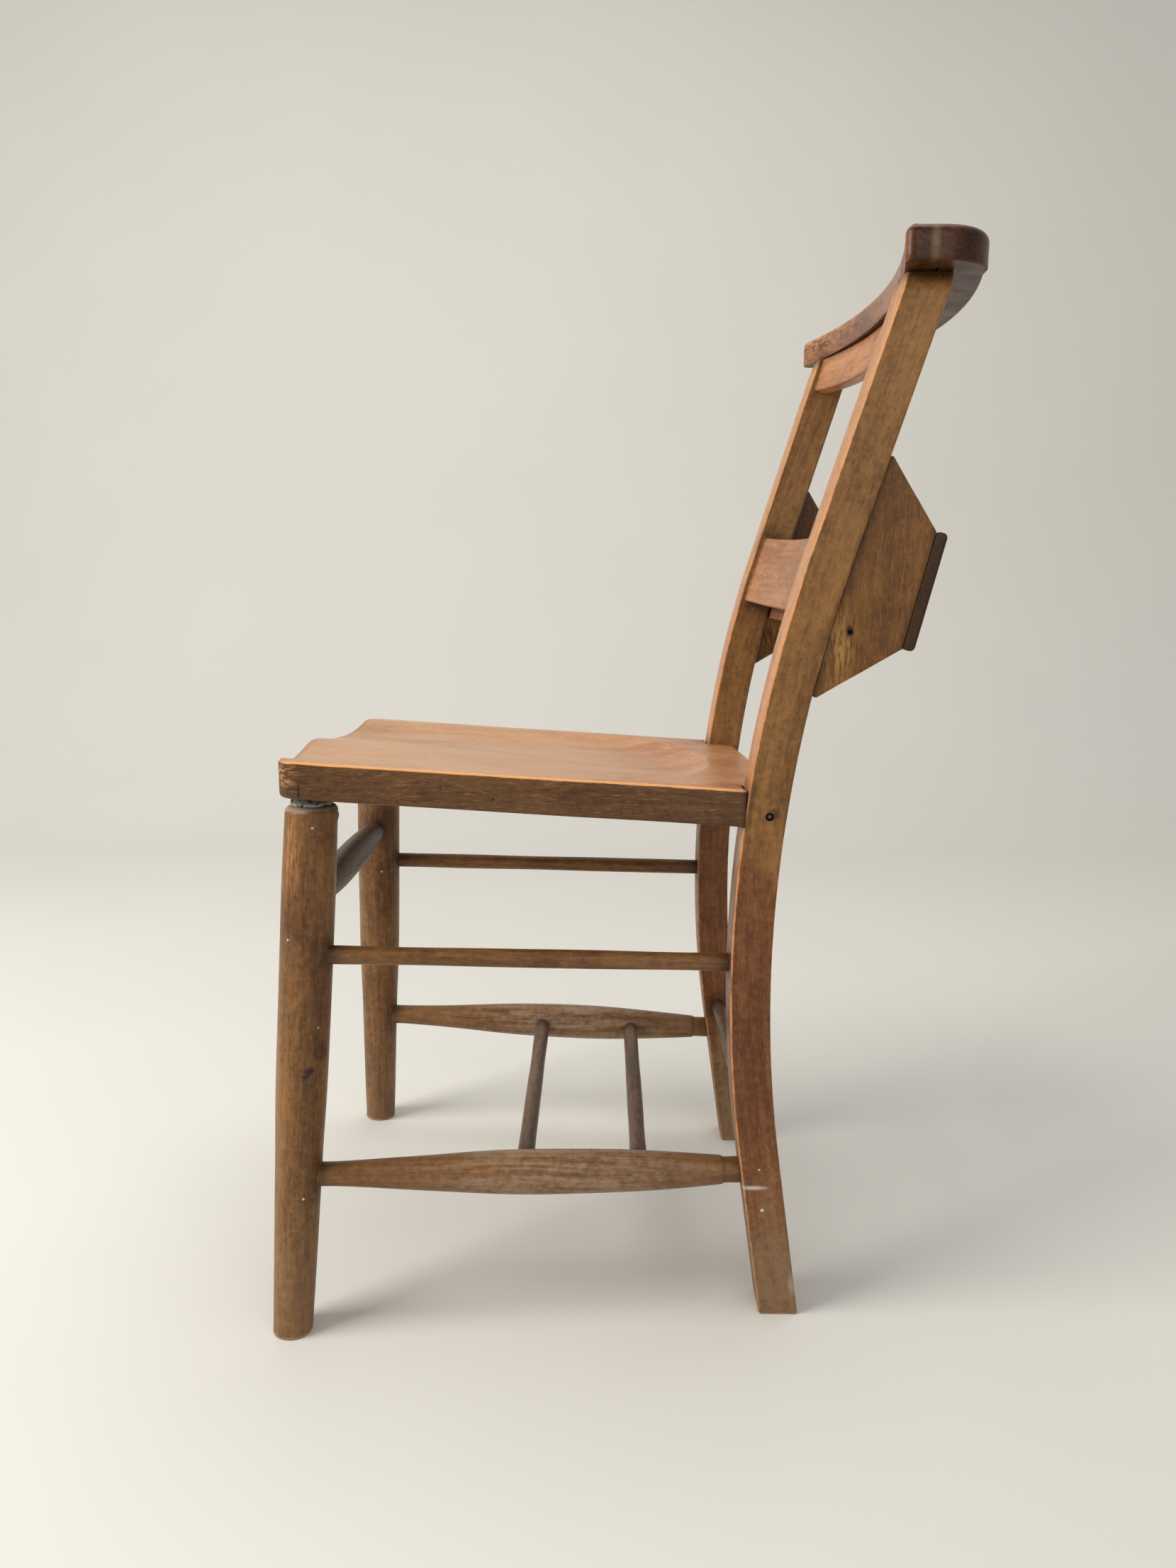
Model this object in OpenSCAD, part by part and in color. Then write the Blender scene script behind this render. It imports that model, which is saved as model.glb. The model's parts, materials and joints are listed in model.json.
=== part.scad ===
// Chapel chair with a book box on its back.
//
// The chair stands on the floor at z = 0 and the sitter faces -Y, so the
// sitter's left is +X. The seat board is the datum: its front corners and the
// front faces of the rear posts lie half a seat depth before and behind the
// design origin. The finished model is then moved along Y, so that the origin
// lies at the middle of the overall depth.

/* [Seat] */
// Height of the seat rim at its front corners
seat_front_h = 476; // [440:1:500]
// Width across the front corners of the seat
seat_front_w = 378; // [365:1:400]
// Depth from the front corners to the rear posts
seat_d = 366; // [340:1:400]
// Thickness of the seat board at its rim
seat_t = 30; // [26:1:34]
// Fall of the seat towards the back, in degrees
seat_fall = 3.6; // [1:0.1:5]
// Fall of the seat towards the sitter's right, in degrees
seat_roll = 1.8; // [0:0.1:2]
// How far the front edge bows forward at its middle
seat_bow = 19; // [6:1:26]
// Radius of the front corners, seen from above
seat_corner_r = 14; // [8:1:20]
// How far the seat reaches back between the posts
seat_tongue = 24; // [20:1:28]
// Deepest part of the seat hollow
dish_depth = 11; // [6:0.5:12]
// Height left standing in the hollow as the front ridge
ridge_h = 7; // [3:0.5:9]

/* [Front legs] */
// Distance from the seat's side edge in to the top of a leg's axis
leg_inset_x = 45; // [38:1:50]
// Distance from the seat's front corner back to the top of a leg's axis
leg_inset_y = 15; // [10:1:24]
// Sideways splay of the front legs, in degrees
leg_splay_x = 6.9; // [4:0.1:8]
// Forward splay of the front legs, in degrees
leg_splay_y = 2.7; // [0:0.1:4]
// Diameter of a front leg at its thickest
leg_d = 44; // [38:0.5:46]
// Diameter of a front leg at the floor
leg_foot_d = 32; // [26:0.5:36]
// Open joint left between the shoulder of the left leg and the seat
leg_gap = 11; // [10:0.5:13]
// Diameter of the neck that shows in the open joint
leg_neck_d = 32; // [28:0.5:34]
// Diameter of the round tenon let into the seat
leg_tenon_d = 25; // [20:0.5:26]
// Depth of the round tenon let into the seat
leg_tenon_l = 13; // [8:0.5:15]

/* [Rear posts] */
// Width of a post, seen from the front
post_w = 36; // [32:0.5:40]
// Thickness of a post, seen from the side
post_t = 32.5; // [30:0.5:36]
// Width across the outer faces of the posts at the floor
post_foot_w = 348; // [335:1:360]
// Outward splay of the posts as they rise, in degrees
post_splay = 1.45; // [0.5:0.05:2]
// Backward rake of the lower end of a post, in degrees
foot_rake = 8; // [5:0.1:10]
// Backward lean of the upper end of a post, in degrees
back_lean = 17.6; // [14:0.1:20]
// Height at which the lines of the two straight ends cross
bend_h = 393; // [370:1:410]
// Distance from the post's face at the seat forward to that crossing
bend_inset = 38; // [34:0.5:40]
// Radius of the front face of the bend
bend_r = 1114; // [950:1:1200]
// Bevel on the outer top corner of a post
post_bevel = [10, 14];

/* [Crest rail] */
// Height of the top of the chair
total_h = 856; // [820:1:890]
// Length of the crest rail
crest_l = 429; // [420:1:440]
// Thickness of the crest rail
crest_t = 25; // [22:0.5:30]
// Depth of the crest rail at its middle
crest_d = 64; // [60:0.5:70]
// Distance from a post's face forward to the ends of the crest
crest_lip = 12; // [9:0.5:14]
// Radius of the hollow front edge of the crest
crest_front_r = 840; // [780:1:1000]
// Radius of the full back edge of the crest
crest_back_r = 700; // [640:1:840]
// Radius of the back corners of the crest
crest_end_r = 42; // [34:1:46]
// Radius of the front corners of the crest
crest_nose_r = 8; // [5:0.5:10]
// Radius worn on the top edge of the crest
crest_round = 8; // [4:0.5:10]
// Diameter of the round tenon from each post into the crest
crest_tenon_d = 18; // [12:0.5:19]
// Height of that tenon
crest_tenon_l = 14; // [10:0.5:17]

/* [Back rails] */
// Thickness of the two curved back rails
rail_t = 11; // [9:0.5:13]
// Radius of the front face of both back rails
rail_r = 700; // [620:1:900]
// Set-back of the rails from the front face of the posts
rail_setback = 5; // [3:0.5:8]
// Depth of the mortises that take the rails
rail_mortise = 8; // [5:0.5:8]
// Height of the lower edge of the middle rail, along the back's slope
mid_rail_at = 210; // [190:1:225]
// Height of the middle rail
mid_rail_h = 66; // [55:1:74]
// Height of the lower edge of the upper rail, along the back's slope
upper_rail_at = 428; // [400:1:435]

/* [Stretchers] */
// Height of the front stretcher
front_stretcher_h = 352; // [345:1:370]
// Diameter of the front stretcher at its ends
front_stretcher_end_d = 17; // [14:0.5:19]
// Diameter of the front stretcher at its middle
front_stretcher_d = 29; // [20:0.5:32]
// Height of the upper side stretchers at the front legs
upper_stretcher_front_h = 313; // [300:1:320]
// Height of the upper side stretchers at the rear posts
upper_stretcher_rear_h = 306; // [300:1:320]
// Diameter of the upper side stretchers
upper_stretcher_d = 15; // [13:0.5:17]
// Height of the lower side stretchers at the front legs
lower_stretcher_front_h = 130; // [110:1:140]
// Height of the lower side stretchers at the rear posts
lower_stretcher_rear_h = 124; // [110:1:128]
// Diameter of the lower side stretchers at their ends
lower_stretcher_end_d = 21; // [17:0.5:22]
// Diameter of the lower side stretchers at their swell
lower_stretcher_d = 36.5; // [30:0.5:38]
// Distance of the front cross stretcher behind the middle of the seat
cross_front_y = 2; // [-20:1:20]
// Distance between the two cross stretchers
cross_pitch = 96.5; // [70:0.5:110]
// Diameter of the cross stretchers
cross_d = 15; // [13:0.5:17]
// Height of the rear stretcher
rear_stretcher_h = 154; // [153:1:180]
// Diameter of the rear stretcher
rear_stretcher_d = 15; // [13:0.5:17]
// Depth to which a stretcher is let into a leg, post or rail
socket_depth = 19; // [14:0.5:20]
// Depth to which a cross stretcher is let into the side stretchers
cross_socket_depth = 12; // [8:0.5:14]

/* [Book box] */
// Thickness of the side panels
panel_t = 10; // [8:0.5:12]
// Set-in of a side panel from the outer face of its post
panel_inset = 3; // [1:0.5:6]
// Distance from the face of the posts back to the back board
box_d = 84; // [74:1:96]
// Backward lean of the book box, in degrees
box_lean = 14; // [12:0.5:17]
// Height of the back board's upper edge, along the back's slope
box_top_at = 295; // [290:1:300]
// Height of the back board
box_back_h = 91; // [84:1:100]
// Thickness of the back board
box_back_t = 9.5; // [8:0.5:12]
// Rise of the side panels on the posts above the back board
box_rise = 50; // [30:1:60]
// Drop of the side panels on the posts below the back board
box_drop = 50; // [40:1:60]
// Thickness of the floor of the box
box_floor_t = 12; // [10:0.5:14]
// Distance of the floor's lower face below the back board
box_floor_drop = 2; // [0:0.5:4]

/* [Fixings] */
// Diameter of the head of a seat screw
screw_head_d = 6.5; // [5:0.5:8]
// Diameter of the shank of a seat screw
screw_d = 4; // [3:0.5:5]
// Length of a seat screw
screw_l = 55; // [48:1:60]
// Depth at which the screw heads lie below the post's face
screw_sink = 2; // [1:0.5:4]
// Distance of a seat screw behind the face of the post
screw_setback = 19; // [17:0.5:20]
// Diameter of a nail
nail_d = 2.4; // [2:0.2:3]
// Diameter of a nail's head
nail_head_d = 5.6; // [4:0.2:6]
// Thickness of a nail's head
nail_head_t = 1.2; // [1:0.1:2]
// Length of a nail
nail_l = 32; // [26:1:36]
// Slack left round every tenon, rod and screw
glue_gap = 0.1; // [0.05:0.05:0.2]

/* [Hidden] */
$fn = 64;

LEFT = 1;
RIGHT = -1;
BIG = 2000;
CUT = 1;
ARC_STEPS = 12;

varnish = [0.55, 0.33, 0.17];
dark_wood = [0.36, 0.23, 0.14];
pale_wood = [0.66, 0.43, 0.26];
putty = [0.45, 0.49, 0.45];
iron = [0.16, 0.14, 0.13];

// ---- lines that the pieces share ----

seat_front_y = -seat_d / 2;
seat_rear_y = seat_d / 2;
seat_back_edge_y = seat_rear_y + seat_tongue;

// Heights of the board's flat faces. The board falls to the back, and to the
// sitter's right, because the left leg stands out of its joint.
function seat_top_z(x, y) =
    seat_front_h - (y - seat_front_y) * tan(seat_fall) - (seat_front_w / 2 - x) * tan(seat_roll);
function seat_under_z(x, y) = seat_top_z(x, y) - seat_t;

// The side of a post seen from the side: two straight ends and one bend.
vertex_y = seat_rear_y - bend_inset;
bend_tangent = bend_r * tan((foot_rake + back_lean) / 2);
bend_center = [
    vertex_y + bend_tangent * sin(foot_rake) + bend_r * cos(foot_rake),
    bend_h - bend_tangent * cos(foot_rake) + bend_r * sin(foot_rake)
];
bend_low_z = bend_h - bend_tangent * cos(foot_rake);
bend_high_z = bend_h + bend_tangent * cos(back_lean);
function post_front_y(z) =
    z < bend_low_z ? vertex_y + (bend_h - z) * tan(foot_rake) :
    z > bend_high_z ? vertex_y + (z - bend_h) * tan(back_lean) :
    bend_center[0] - sqrt(bend_r ^ 2 - (z - bend_center[1]) ^ 2);
function post_mid_y(z) = post_front_y(z) + post_t / 2;
function post_outer_x(z) = post_foot_w / 2 + z * tan(post_splay);
function post_inner_x(z) = post_outer_x(z) - post_w;
function post_mid_x(z) = post_outer_x(z) - post_w / 2;

// The axis of a front leg, and its diameter, at any height.
leg_top_z = seat_under_z(seat_front_w / 2 - leg_inset_x, seat_front_y + leg_inset_y);
function leg_x(z) = seat_front_w / 2 - leg_inset_x + (leg_top_z - z) * tan(leg_splay_x);
function leg_y(z) = seat_front_y + leg_inset_y - (leg_top_z - z) * tan(leg_splay_y);
leg_len = norm([leg_x(0) - leg_x(leg_top_z), leg_y(0) - leg_y(leg_top_z), leg_top_z]);

// The slope of the back: a point a distance along the upper line of the posts
// and a distance behind it.
function back_y(along, behind) = vertex_y + along * sin(back_lean) + behind * cos(back_lean);
function back_z(along, behind) = bend_h + along * cos(back_lean) - behind * sin(back_lean);

crest_under = total_h - crest_t;
crest_front_y = post_front_y(crest_under) - crest_lip;
crest_sag = crest_front_r - sqrt(crest_front_r ^ 2 - (crest_l / 2) ^ 2);
crest_back_y = crest_front_y + crest_sag + crest_d;

// The model is centred on its overall depth.
front_extent = min(leg_y(0) - leg_foot_d / 2, seat_front_y - seat_bow);
shift_y = -(front_extent + crest_back_y) / 2;

// ---- helpers ----

module centred() {
    translate([0, shift_y, 0]) children();
}

module sided(side) {
    mirror([side < 0 ? 1 : 0, 0, 0]) children();
}

module on_back_slope() {
    translate([0, vertex_y, bend_h]) rotate([-back_lean, 0, 0]) children();
}

// Draws its children with their Z axis along the line from a to b.
module along(a, b) {
    v = b - a;
    translate(a) rotate([0, acos(v[2] / norm(v)), atan2(v[1], v[0])]) children();
}

// A straight round rod from a to b, made thicker all over by grow.
module rod(a, b, d, grow = 0) {
    along(a, b) translate([0, 0, -grow]) cylinder(h = norm(b - a) + 2 * grow, d = d + 2 * grow);
}

// Points of an arc from angle a0 to a1.
function arc(c, r, a0, a1, steps = ARC_STEPS) =
    [for (i = [0:steps]) let (a = a0 + (a1 - a0) * i / steps) c + r * [cos(a), sin(a)]];

// A closed solid through a stack of rings that all have as many points. Its
// two ends are single faces, or where strip is true they are laid in bands
// between the first half of the ring and the second, so that a plan with a
// hollow side is covered too.
module skin(rings, strip = false) {
    n = len(rings[0]);
    m = len(rings);
    points = [for (ring = rings) each ring];
    sides = [for (k = [0:m - 2], i = [0:n - 1]) let (j = (i + 1) % n)
        each [
            [k * n + i, (k + 1) * n + i, k * n + j],
            [k * n + j, (k + 1) * n + i, (k + 1) * n + j]
        ]];
    floor_faces = strip
        ? [for (i = [0:n / 2 - 2]) each [[i, i + 1, n - 2 - i], [i, n - 2 - i, n - 1 - i]]]
        : [[for (i = [0:n - 1]) i]];
    roof_faces = [for (face = floor_faces)
        [for (i = [len(face) - 1:-1:0]) (m - 1) * n + face[i]]];
    polyhedron(points, concat(sides, floor_faces, roof_faces));
}

// ---- seat ----

// Depth of the hollow below the flat of the board, at a point of the seat.
hollow_rear_y = seat_rear_y - 22;
hollow_mid_y = seat_rear_y - 120;
hollow_half_w = seat_front_w / 2 - 26;
function smooth(t) = let (u = max(0, min(1, t))) u * u * (3 - 2 * u);
function bowl(x, y) =
    let (across = min(1, abs(x) / hollow_half_w),
         back = y > hollow_mid_y ? (y - hollow_mid_y) / (hollow_rear_y - hollow_mid_y) : 0)
    smooth(2.2 * (1 - sqrt(across ^ 2 + back ^ 2)));
function ridge(x, y) =
    exp(-((x / 46) ^ 2)) * smooth((hollow_mid_y - y) / (seat_d * 0.55));
function hollow(x, y) =
    bowl(x, y) * (dish_depth - ridge_h * ridge(x, y));

// The plan of the board, as a ring of points. inset shrinks it evenly.
EDGE_STEPS = 22;
function seat_half_w(y) =
    seat_front_w / 2 + (post_outer_x(seat_top_z(seat_front_w / 2, seat_rear_y)) - seat_front_w / 2)
    * (y - seat_front_y) / seat_d;
function seat_front_edge(x) = seat_front_y - seat_bow * (1 - (2 * x / seat_front_w) ^ 2);
function seat_plan(inset = 0) =
    let (hw = seat_front_w / 2 - inset, r = seat_corner_r, fy = seat_front_y + inset)
    concat(
        [for (i = [1:EDGE_STEPS - 1]) let (x = -(hw - r) + 2 * (hw - r) * i / EDGE_STEPS)
            [x, seat_front_edge(x) + inset]],
        arc([hw - r, fy + r - seat_bow * 0.12], r, -84, 0, 6),
        [for (i = [1:EDGE_STEPS]) let (y = fy + r + (seat_back_edge_y - inset - fy - r) * i / EDGE_STEPS)
            [seat_half_w(y) - inset, y]],
        [for (i = [1:EDGE_STEPS - 1]) let (x = hw - 2 * hw * i / EDGE_STEPS)
            [x, seat_back_edge_y - inset]],
        [for (i = [EDGE_STEPS:-1:1]) let (y = fy + r + (seat_back_edge_y - inset - fy - r) * i / EDGE_STEPS)
            [-seat_half_w(y) + inset, y]],
        arc([-hw + r, fy + r - seat_bow * 0.12], r, -180, -96, 6)
    );

// The board is one skin: its underside, its side and the hollowed top, which
// runs in to the middle as rings of the same plan.
TOP_RINGS = 14;
module seat_board() {
    rim = seat_plan();
    soft = seat_plan(2);
    middle = [0, seat_rear_y - seat_d * 0.5];
    skin(concat(
        [[for (p = soft) [p[0], p[1], seat_under_z(p[0], p[1])]]],
        [[for (p = rim) [p[0], p[1], seat_under_z(p[0], p[1]) + 3]]],
        [[for (p = rim) [p[0], p[1], seat_top_z(p[0], p[1]) - hollow(p[0], p[1]) - 3]]],
        [for (k = [0:TOP_RINGS - 1]) let (s = 1 - k / TOP_RINGS)
            [for (p = soft) let (x = p[0] * s, y = middle[1] + (p[1] - middle[1]) * s)
                [x, y, seat_top_z(x, y) - hollow(x, y)]]]
    ));
}

module seat() {
    color(varnish) centred() difference() {
        seat_board();
        for (side = [LEFT, RIGHT]) sided(side) {
            post_corner(glue_gap);
            leg_tenon(side, glue_gap);
            seat_screw(glue_gap);
        }
    }
}

// ---- front legs ----

module leg_axis_frame() {
    along([leg_x(0), leg_y(0), 0], [leg_x(leg_top_z), leg_y(leg_top_z), leg_top_z]) children();
}

// The leg is drawn as the left one and mirrored, so the seat's roll turns over
// with it: drop is how much lower the seat lies over this leg.
function leg_drop(side) = side < 0 ? 2 * leg_x(leg_top_z) * tan(seat_roll) : 0;
module leg_tenon(side, grow = 0) {
    leg_axis_frame() translate([0, 0, leg_len - leg_drop(side) - leg_neck_d / 2]) {
        cylinder(h = leg_tenon_l + leg_neck_d / 2 + grow, d = leg_tenon_d + 2 * grow);
    }
}

// The turned outline: a straight taper to the foot, a slight belly below the
// top, and a rounded shoulder at the open joint.
shoulder_at = leg_len - leg_gap;
shoulder_r = 5;
FOOT_SPARE = 10;
OUTLINE_TURN = 35;
module leg_turning() {
    rotate(OUTLINE_TURN) rotate_extrude() polygon(concat(
        [[0, -FOOT_SPARE], [leg_foot_d / 2, -FOOT_SPARE], [leg_d / 2 * 0.78, leg_len * 0.1]],
        [[leg_d / 2 * 0.87, leg_len * 0.34], [leg_d / 2 * 0.95, leg_len * 0.46]],
        [[leg_d / 2, leg_len * 0.72], [leg_d / 2 * 0.99, leg_len * 0.86]],
        arc([leg_d / 2 * 0.97 - shoulder_r, shoulder_at - shoulder_r], shoulder_r, 0, 90, 6),
        [[leg_neck_d / 2, shoulder_at], [leg_neck_d / 2, leg_len + leg_gap], [0, leg_len + leg_gap]]
    ));
}

module under_seat(side) {
    edge = seat_front_w / 2;
    middle_z = (seat_under_z(edge, seat_front_y) + seat_under_z(-edge, seat_front_y)) / 2;
    fall = atan(tan(seat_fall) * cos(seat_roll));
    translate([0, seat_front_y, middle_z]) rotate([-fall, -side * seat_roll, 0]) {
        translate([-BIG / 2, -BIG / 2, -BIG]) cube([BIG, BIG, BIG]);
    }
}

module above_floor() {
    translate([-BIG / 2, -BIG / 2, 0]) cube([BIG, BIG, BIG]);
}

module front_leg(side) {
    color(dark_wood) centred() sided(side) difference() {
        union() {
            intersection() {
                leg_axis_frame() leg_turning();
                under_seat(side);
                above_floor();
            }
            leg_tenon(side);
        }
        front_stretcher_line(glue_gap);
        upper_side_line(glue_gap);
        lower_side_line(glue_gap);
    }
}

filler_swell = 4.5;
module leg_joint_filler() {
    color(putty) centred() difference() {
        intersection() {
            leg_axis_frame() translate([0, 0, shoulder_at]) cylinder(h = 2 * leg_gap, d = leg_neck_d + filler_swell);
            under_seat(LEFT);
        }
        leg_axis_frame() cylinder(h = leg_len + 2 * leg_gap, d = leg_neck_d + 2 * glue_gap);
    }
}

// ---- rear posts ----

// The sawn side outline, made bigger all round by grow: a straight lower end,
// one bend and a straight upper end.
BEND_STEPS = 40;
function post_edge(r) =
    let (low = [cos(180 + foot_rake), sin(180 + foot_rake)],
         high = [cos(180 - back_lean), sin(180 - back_lean)])
    concat(
        [bend_center + r * low + BIG / 4 * [-low[1], low[0]]],
        arc(bend_center, r, 180 + foot_rake, 180 - back_lean, BEND_STEPS),
        [bend_center + r * high + BIG / 4 * [high[1], -high[0]]]
    );
module post_outline(grow) {
    front = post_edge(bend_r + grow);
    back = post_edge(bend_r - post_t - grow);
    n = len(back);
    polygon(concat(front, [for (i = [n - 1:-1:0]) back[i]]));
}

// A post before its mortises are cut, standing in its splayed place.
module post_blank(grow = 0) {
    translate([post_foot_w / 2 - post_w / 2, 0, 0]) rotate([0, post_splay, 0]) rotate([90, 0, 90]) {
        linear_extrude(height = post_w + 2 * grow, center = true) post_outline(grow);
    }
}

// The whole corner of the seat that a post stands in: the post's own outline,
// widened outwards and backwards.
module post_corner(grow) {
    translate([post_foot_w / 2 - post_w - grow, 0, 0]) rotate([0, post_splay, 0]) {
        for (back = [0, post_t / 2]) translate([0, back, 0]) rotate([90, 0, 90]) {
            linear_extrude(height = BIG / 4) post_outline(grow);
        }
    }
}

module crest_tenon(grow = 0) {
    translate([post_mid_x(crest_under), post_mid_y(crest_under), crest_under - CUT]) {
        cylinder(h = crest_tenon_l + CUT + grow, d = crest_tenon_d + 2 * grow);
    }
}

module post_top_bevel() {
    x = post_outer_x(crest_under);
    rotate([90, 0, 0]) linear_extrude(height = BIG, center = true) polygon([
        [x + CUT, crest_under - post_bevel[1] - CUT],
        [x + CUT, crest_under + CUT],
        [x - post_bevel[0], crest_under]
    ]);
}

module rear_post(side) {
    color(varnish) centred() sided(side) difference() {
        union() {
            difference() {
                intersection() {
                    post_blank();
                    above_floor();
                    translate([-BIG / 2, -BIG / 2, crest_under - BIG]) cube([BIG, BIG, BIG]);
                }
                post_top_bevel();
            }
            crest_tenon();
        }
        upper_rail_blank(glue_gap);
        mid_rail_blank(glue_gap);
        upper_side_line(glue_gap);
        lower_side_line(glue_gap);
        rear_line(glue_gap);
        seat_screw(glue_gap);
        seat_screw_well();
    }
}

// ---- crest rail ----

// The plan of the crest: a hollow front edge, a full back edge and rounded
// ends. inset shrinks it evenly. The ring runs along the front and back again
// with as many points each way.
CREST_STEPS = 24;
NOSE_STEPS = 5;
END_STEPS = 9;
FRONT_STEPS = CREST_STEPS + 2 * (END_STEPS - NOSE_STEPS) - 2;
function crest_front(x) = crest_front_y + crest_sag - crest_front_r + sqrt(crest_front_r ^ 2 - x ^ 2);
function crest_back(x) = crest_back_y - crest_back_r + sqrt(crest_back_r ^ 2 - x ^ 2);
function crest_plan(inset = 0) =
    let (hw = crest_l / 2 - inset, nose = crest_nose_r, er = crest_end_r - inset,
         nx = hw - nose, ex = hw - er, slope = asin(ex / crest_back_r),
         ey = crest_back(ex) - inset - er * cos(slope))
    concat(
        arc([-nx, crest_front(nx) + inset + nose], nose, 180, 240, NOSE_STEPS),
        [for (i = [0:FRONT_STEPS]) let (x = -nx + 2 * nx * i / FRONT_STEPS)
            [x, crest_front(x) + inset]],
        arc([nx, crest_front(nx) + inset + nose], nose, -60, 0, NOSE_STEPS),
        arc([ex, ey], er, 0, 84, END_STEPS),
        [for (i = [1:CREST_STEPS - 1]) let (x = ex - 2 * ex * i / CREST_STEPS)
            [x, crest_back(x) - inset]],
        arc([-ex, ey], er, 96, 180, END_STEPS)
    );

module crest_board() {
    r = crest_round;
    function ring(inset, z) = [for (p = crest_plan(inset)) [p[0], p[1], z]];
    skin(concat(
        [ring(1, crest_under), ring(0, crest_under + 1)],
        [for (a = [0:15:90]) ring(r * (1 - cos(a)), total_h - r + r * sin(a))]
    ), strip = true);
}

module crest_rail() {
    color(varnish) centred() difference() {
        crest_board();
        for (side = [LEFT, RIGHT]) sided(side) crest_tenon(glue_gap);
    }
}

// ---- curved back rails ----

// A bent lath: its lower edge lies a distance along the back's slope.
module curved_rail(at, h, reach, grow = 0) {
    half = asin(reach / rail_r);
    sag = rail_r - sqrt(rail_r ^ 2 - (reach - rail_mortise) ^ 2);
    on_back_slope() translate([0, rail_setback + sag - rail_r, at - grow]) {
        rotate(90 - half) rotate_extrude(angle = 2 * half, $fn = 360) {
            translate([rail_r - grow, 0]) square([rail_t + 2 * grow, h + 2 * grow]);
        }
    }
}

mid_rail_reach = post_inner_x(back_z(mid_rail_at, 0)) + rail_mortise;
module mid_rail_blank(grow = 0) {
    curved_rail(mid_rail_at, mid_rail_h, mid_rail_reach + grow, grow);
}

upper_rail_reach = post_inner_x(back_z(upper_rail_at, 0)) + rail_mortise;
module upper_rail_blank(grow = 0) {
    intersection() {
        curved_rail(upper_rail_at, crest_under - upper_rail_at, upper_rail_reach + grow, grow);
        translate([-BIG / 2, -BIG / 2, crest_under - BIG]) cube([BIG, BIG, BIG + grow]);
    }
}

module upper_back_rail() {
    color(pale_wood) centred() upper_rail_blank();
}

module mid_back_rail() {
    color(pale_wood) centred() mid_rail_blank();
}

// ---- stretchers ----

// The end points of each stretcher, inside the pieces that hold it.
function on_leg(z) = [leg_x(z), leg_y(z), z];
upper_front = on_leg(upper_stretcher_front_h);
upper_rear = [
    post_mid_x(upper_stretcher_rear_h),
    post_front_y(upper_stretcher_rear_h) + socket_depth,
    upper_stretcher_rear_h
];
lower_front = on_leg(lower_stretcher_front_h);
lower_rear = [
    post_mid_x(lower_stretcher_rear_h),
    post_front_y(lower_stretcher_rear_h) + socket_depth,
    lower_stretcher_rear_h
];
front_end = on_leg(front_stretcher_h);
rear_end = [
    post_inner_x(rear_stretcher_h) + socket_depth,
    post_mid_y(rear_stretcher_h),
    rear_stretcher_h
];

module upper_side_line(grow = 0) {
    rod(upper_front, upper_rear, upper_stretcher_d, grow);
}

module lower_side_line(grow = 0) {
    rod(lower_front, lower_rear, lower_stretcher_end_d, grow);
}

module front_stretcher_line(grow = 0) {
    rod([0, front_end[1], front_end[2]], front_end, front_stretcher_end_d, grow);
}

module rear_line(grow = 0) {
    rod([0, rear_end[1], rear_end[2]], rear_end, rear_stretcher_d, grow);
}

// A turned bar that swells from its plain ends: stations holds the share of
// the length and the share of the swell at each step.
module swelled_bar(length, end_d, mid_d, stations) {
    rotate_extrude() polygon(concat(
        [[0, 0], [end_d / 2, 0]],
        [for (s = stations) [(end_d + (mid_d - end_d) * s[1]) / 2, length * s[0]]],
        [[end_d / 2, length], [0, length]]
    ));
}

module front_stretcher() {
    bulge = [[0.12, 0], [0.24, 0.5], [0.36, 0.88], [0.5, 1], [0.64, 0.88], [0.76, 0.5], [0.88, 0]];
    left = front_end;
    right = [-left[0], left[1], left[2]];
    color(dark_wood) centred() along(right, left) {
        swelled_bar(norm(left - right), front_stretcher_end_d, front_stretcher_d, bulge);
    }
}

module upper_side_stretcher(side) {
    color(dark_wood) centred() sided(side) upper_side_line();
}

// The swell sits behind the middle, where the cross stretchers are let in.
lower_len = norm(lower_rear - lower_front);
cross_rear_y = cross_front_y + cross_pitch;
swell_at = ((cross_front_y + cross_rear_y) / 2 - lower_front[1]) / (lower_rear[1] - lower_front[1]);
swell_span = cross_pitch / (2 * lower_len);
front_plain = 0.09;
rear_plain = 0.92;
module lower_side_stretcher(side) {
    rise = swell_at - swell_span - front_plain;
    fall = rear_plain - swell_at - swell_span;
    stations = [
        [front_plain, 0],
        [front_plain + rise * 0.35, 0.4],
        [front_plain + rise * 0.7, 0.72],
        [swell_at - swell_span, 0.93],
        [swell_at, 1],
        [swell_at + swell_span, 0.93],
        [rear_plain - fall * 0.6, 0.72],
        [rear_plain - fall * 0.25, 0.36],
        [rear_plain, 0]
    ];
    color(dark_wood) centred() sided(side) difference() {
        along(lower_front, lower_rear) swelled_bar(lower_len, lower_stretcher_end_d, lower_stretcher_d, stations);
        cross_line(cross_front_y, glue_gap);
        cross_line(cross_rear_y, glue_gap);
    }
}

// A cross stretcher joins the two side stretchers at the same depth.
function lower_at(y) =
    lower_front + (lower_rear - lower_front) * (y - lower_front[1]) / (lower_rear[1] - lower_front[1]);
module cross_line(y, grow = 0) {
    p = lower_at(y);
    end = [p[0] - lower_stretcher_d / 2 + cross_socket_depth, p[1], p[2]];
    rod([-end[0], end[1], end[2]], end, cross_d, grow);
}

module cross_stretcher_front() {
    color(dark_wood) centred() cross_line(cross_front_y);
}

module cross_stretcher_rear() {
    color(dark_wood) centred() cross_line(cross_rear_y);
}

module rear_stretcher() {
    color(dark_wood) centred() rod([-rear_end[0], rear_end[1], rear_end[2]], rear_end, rear_stretcher_d);
}

// ---- book box ----

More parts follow.
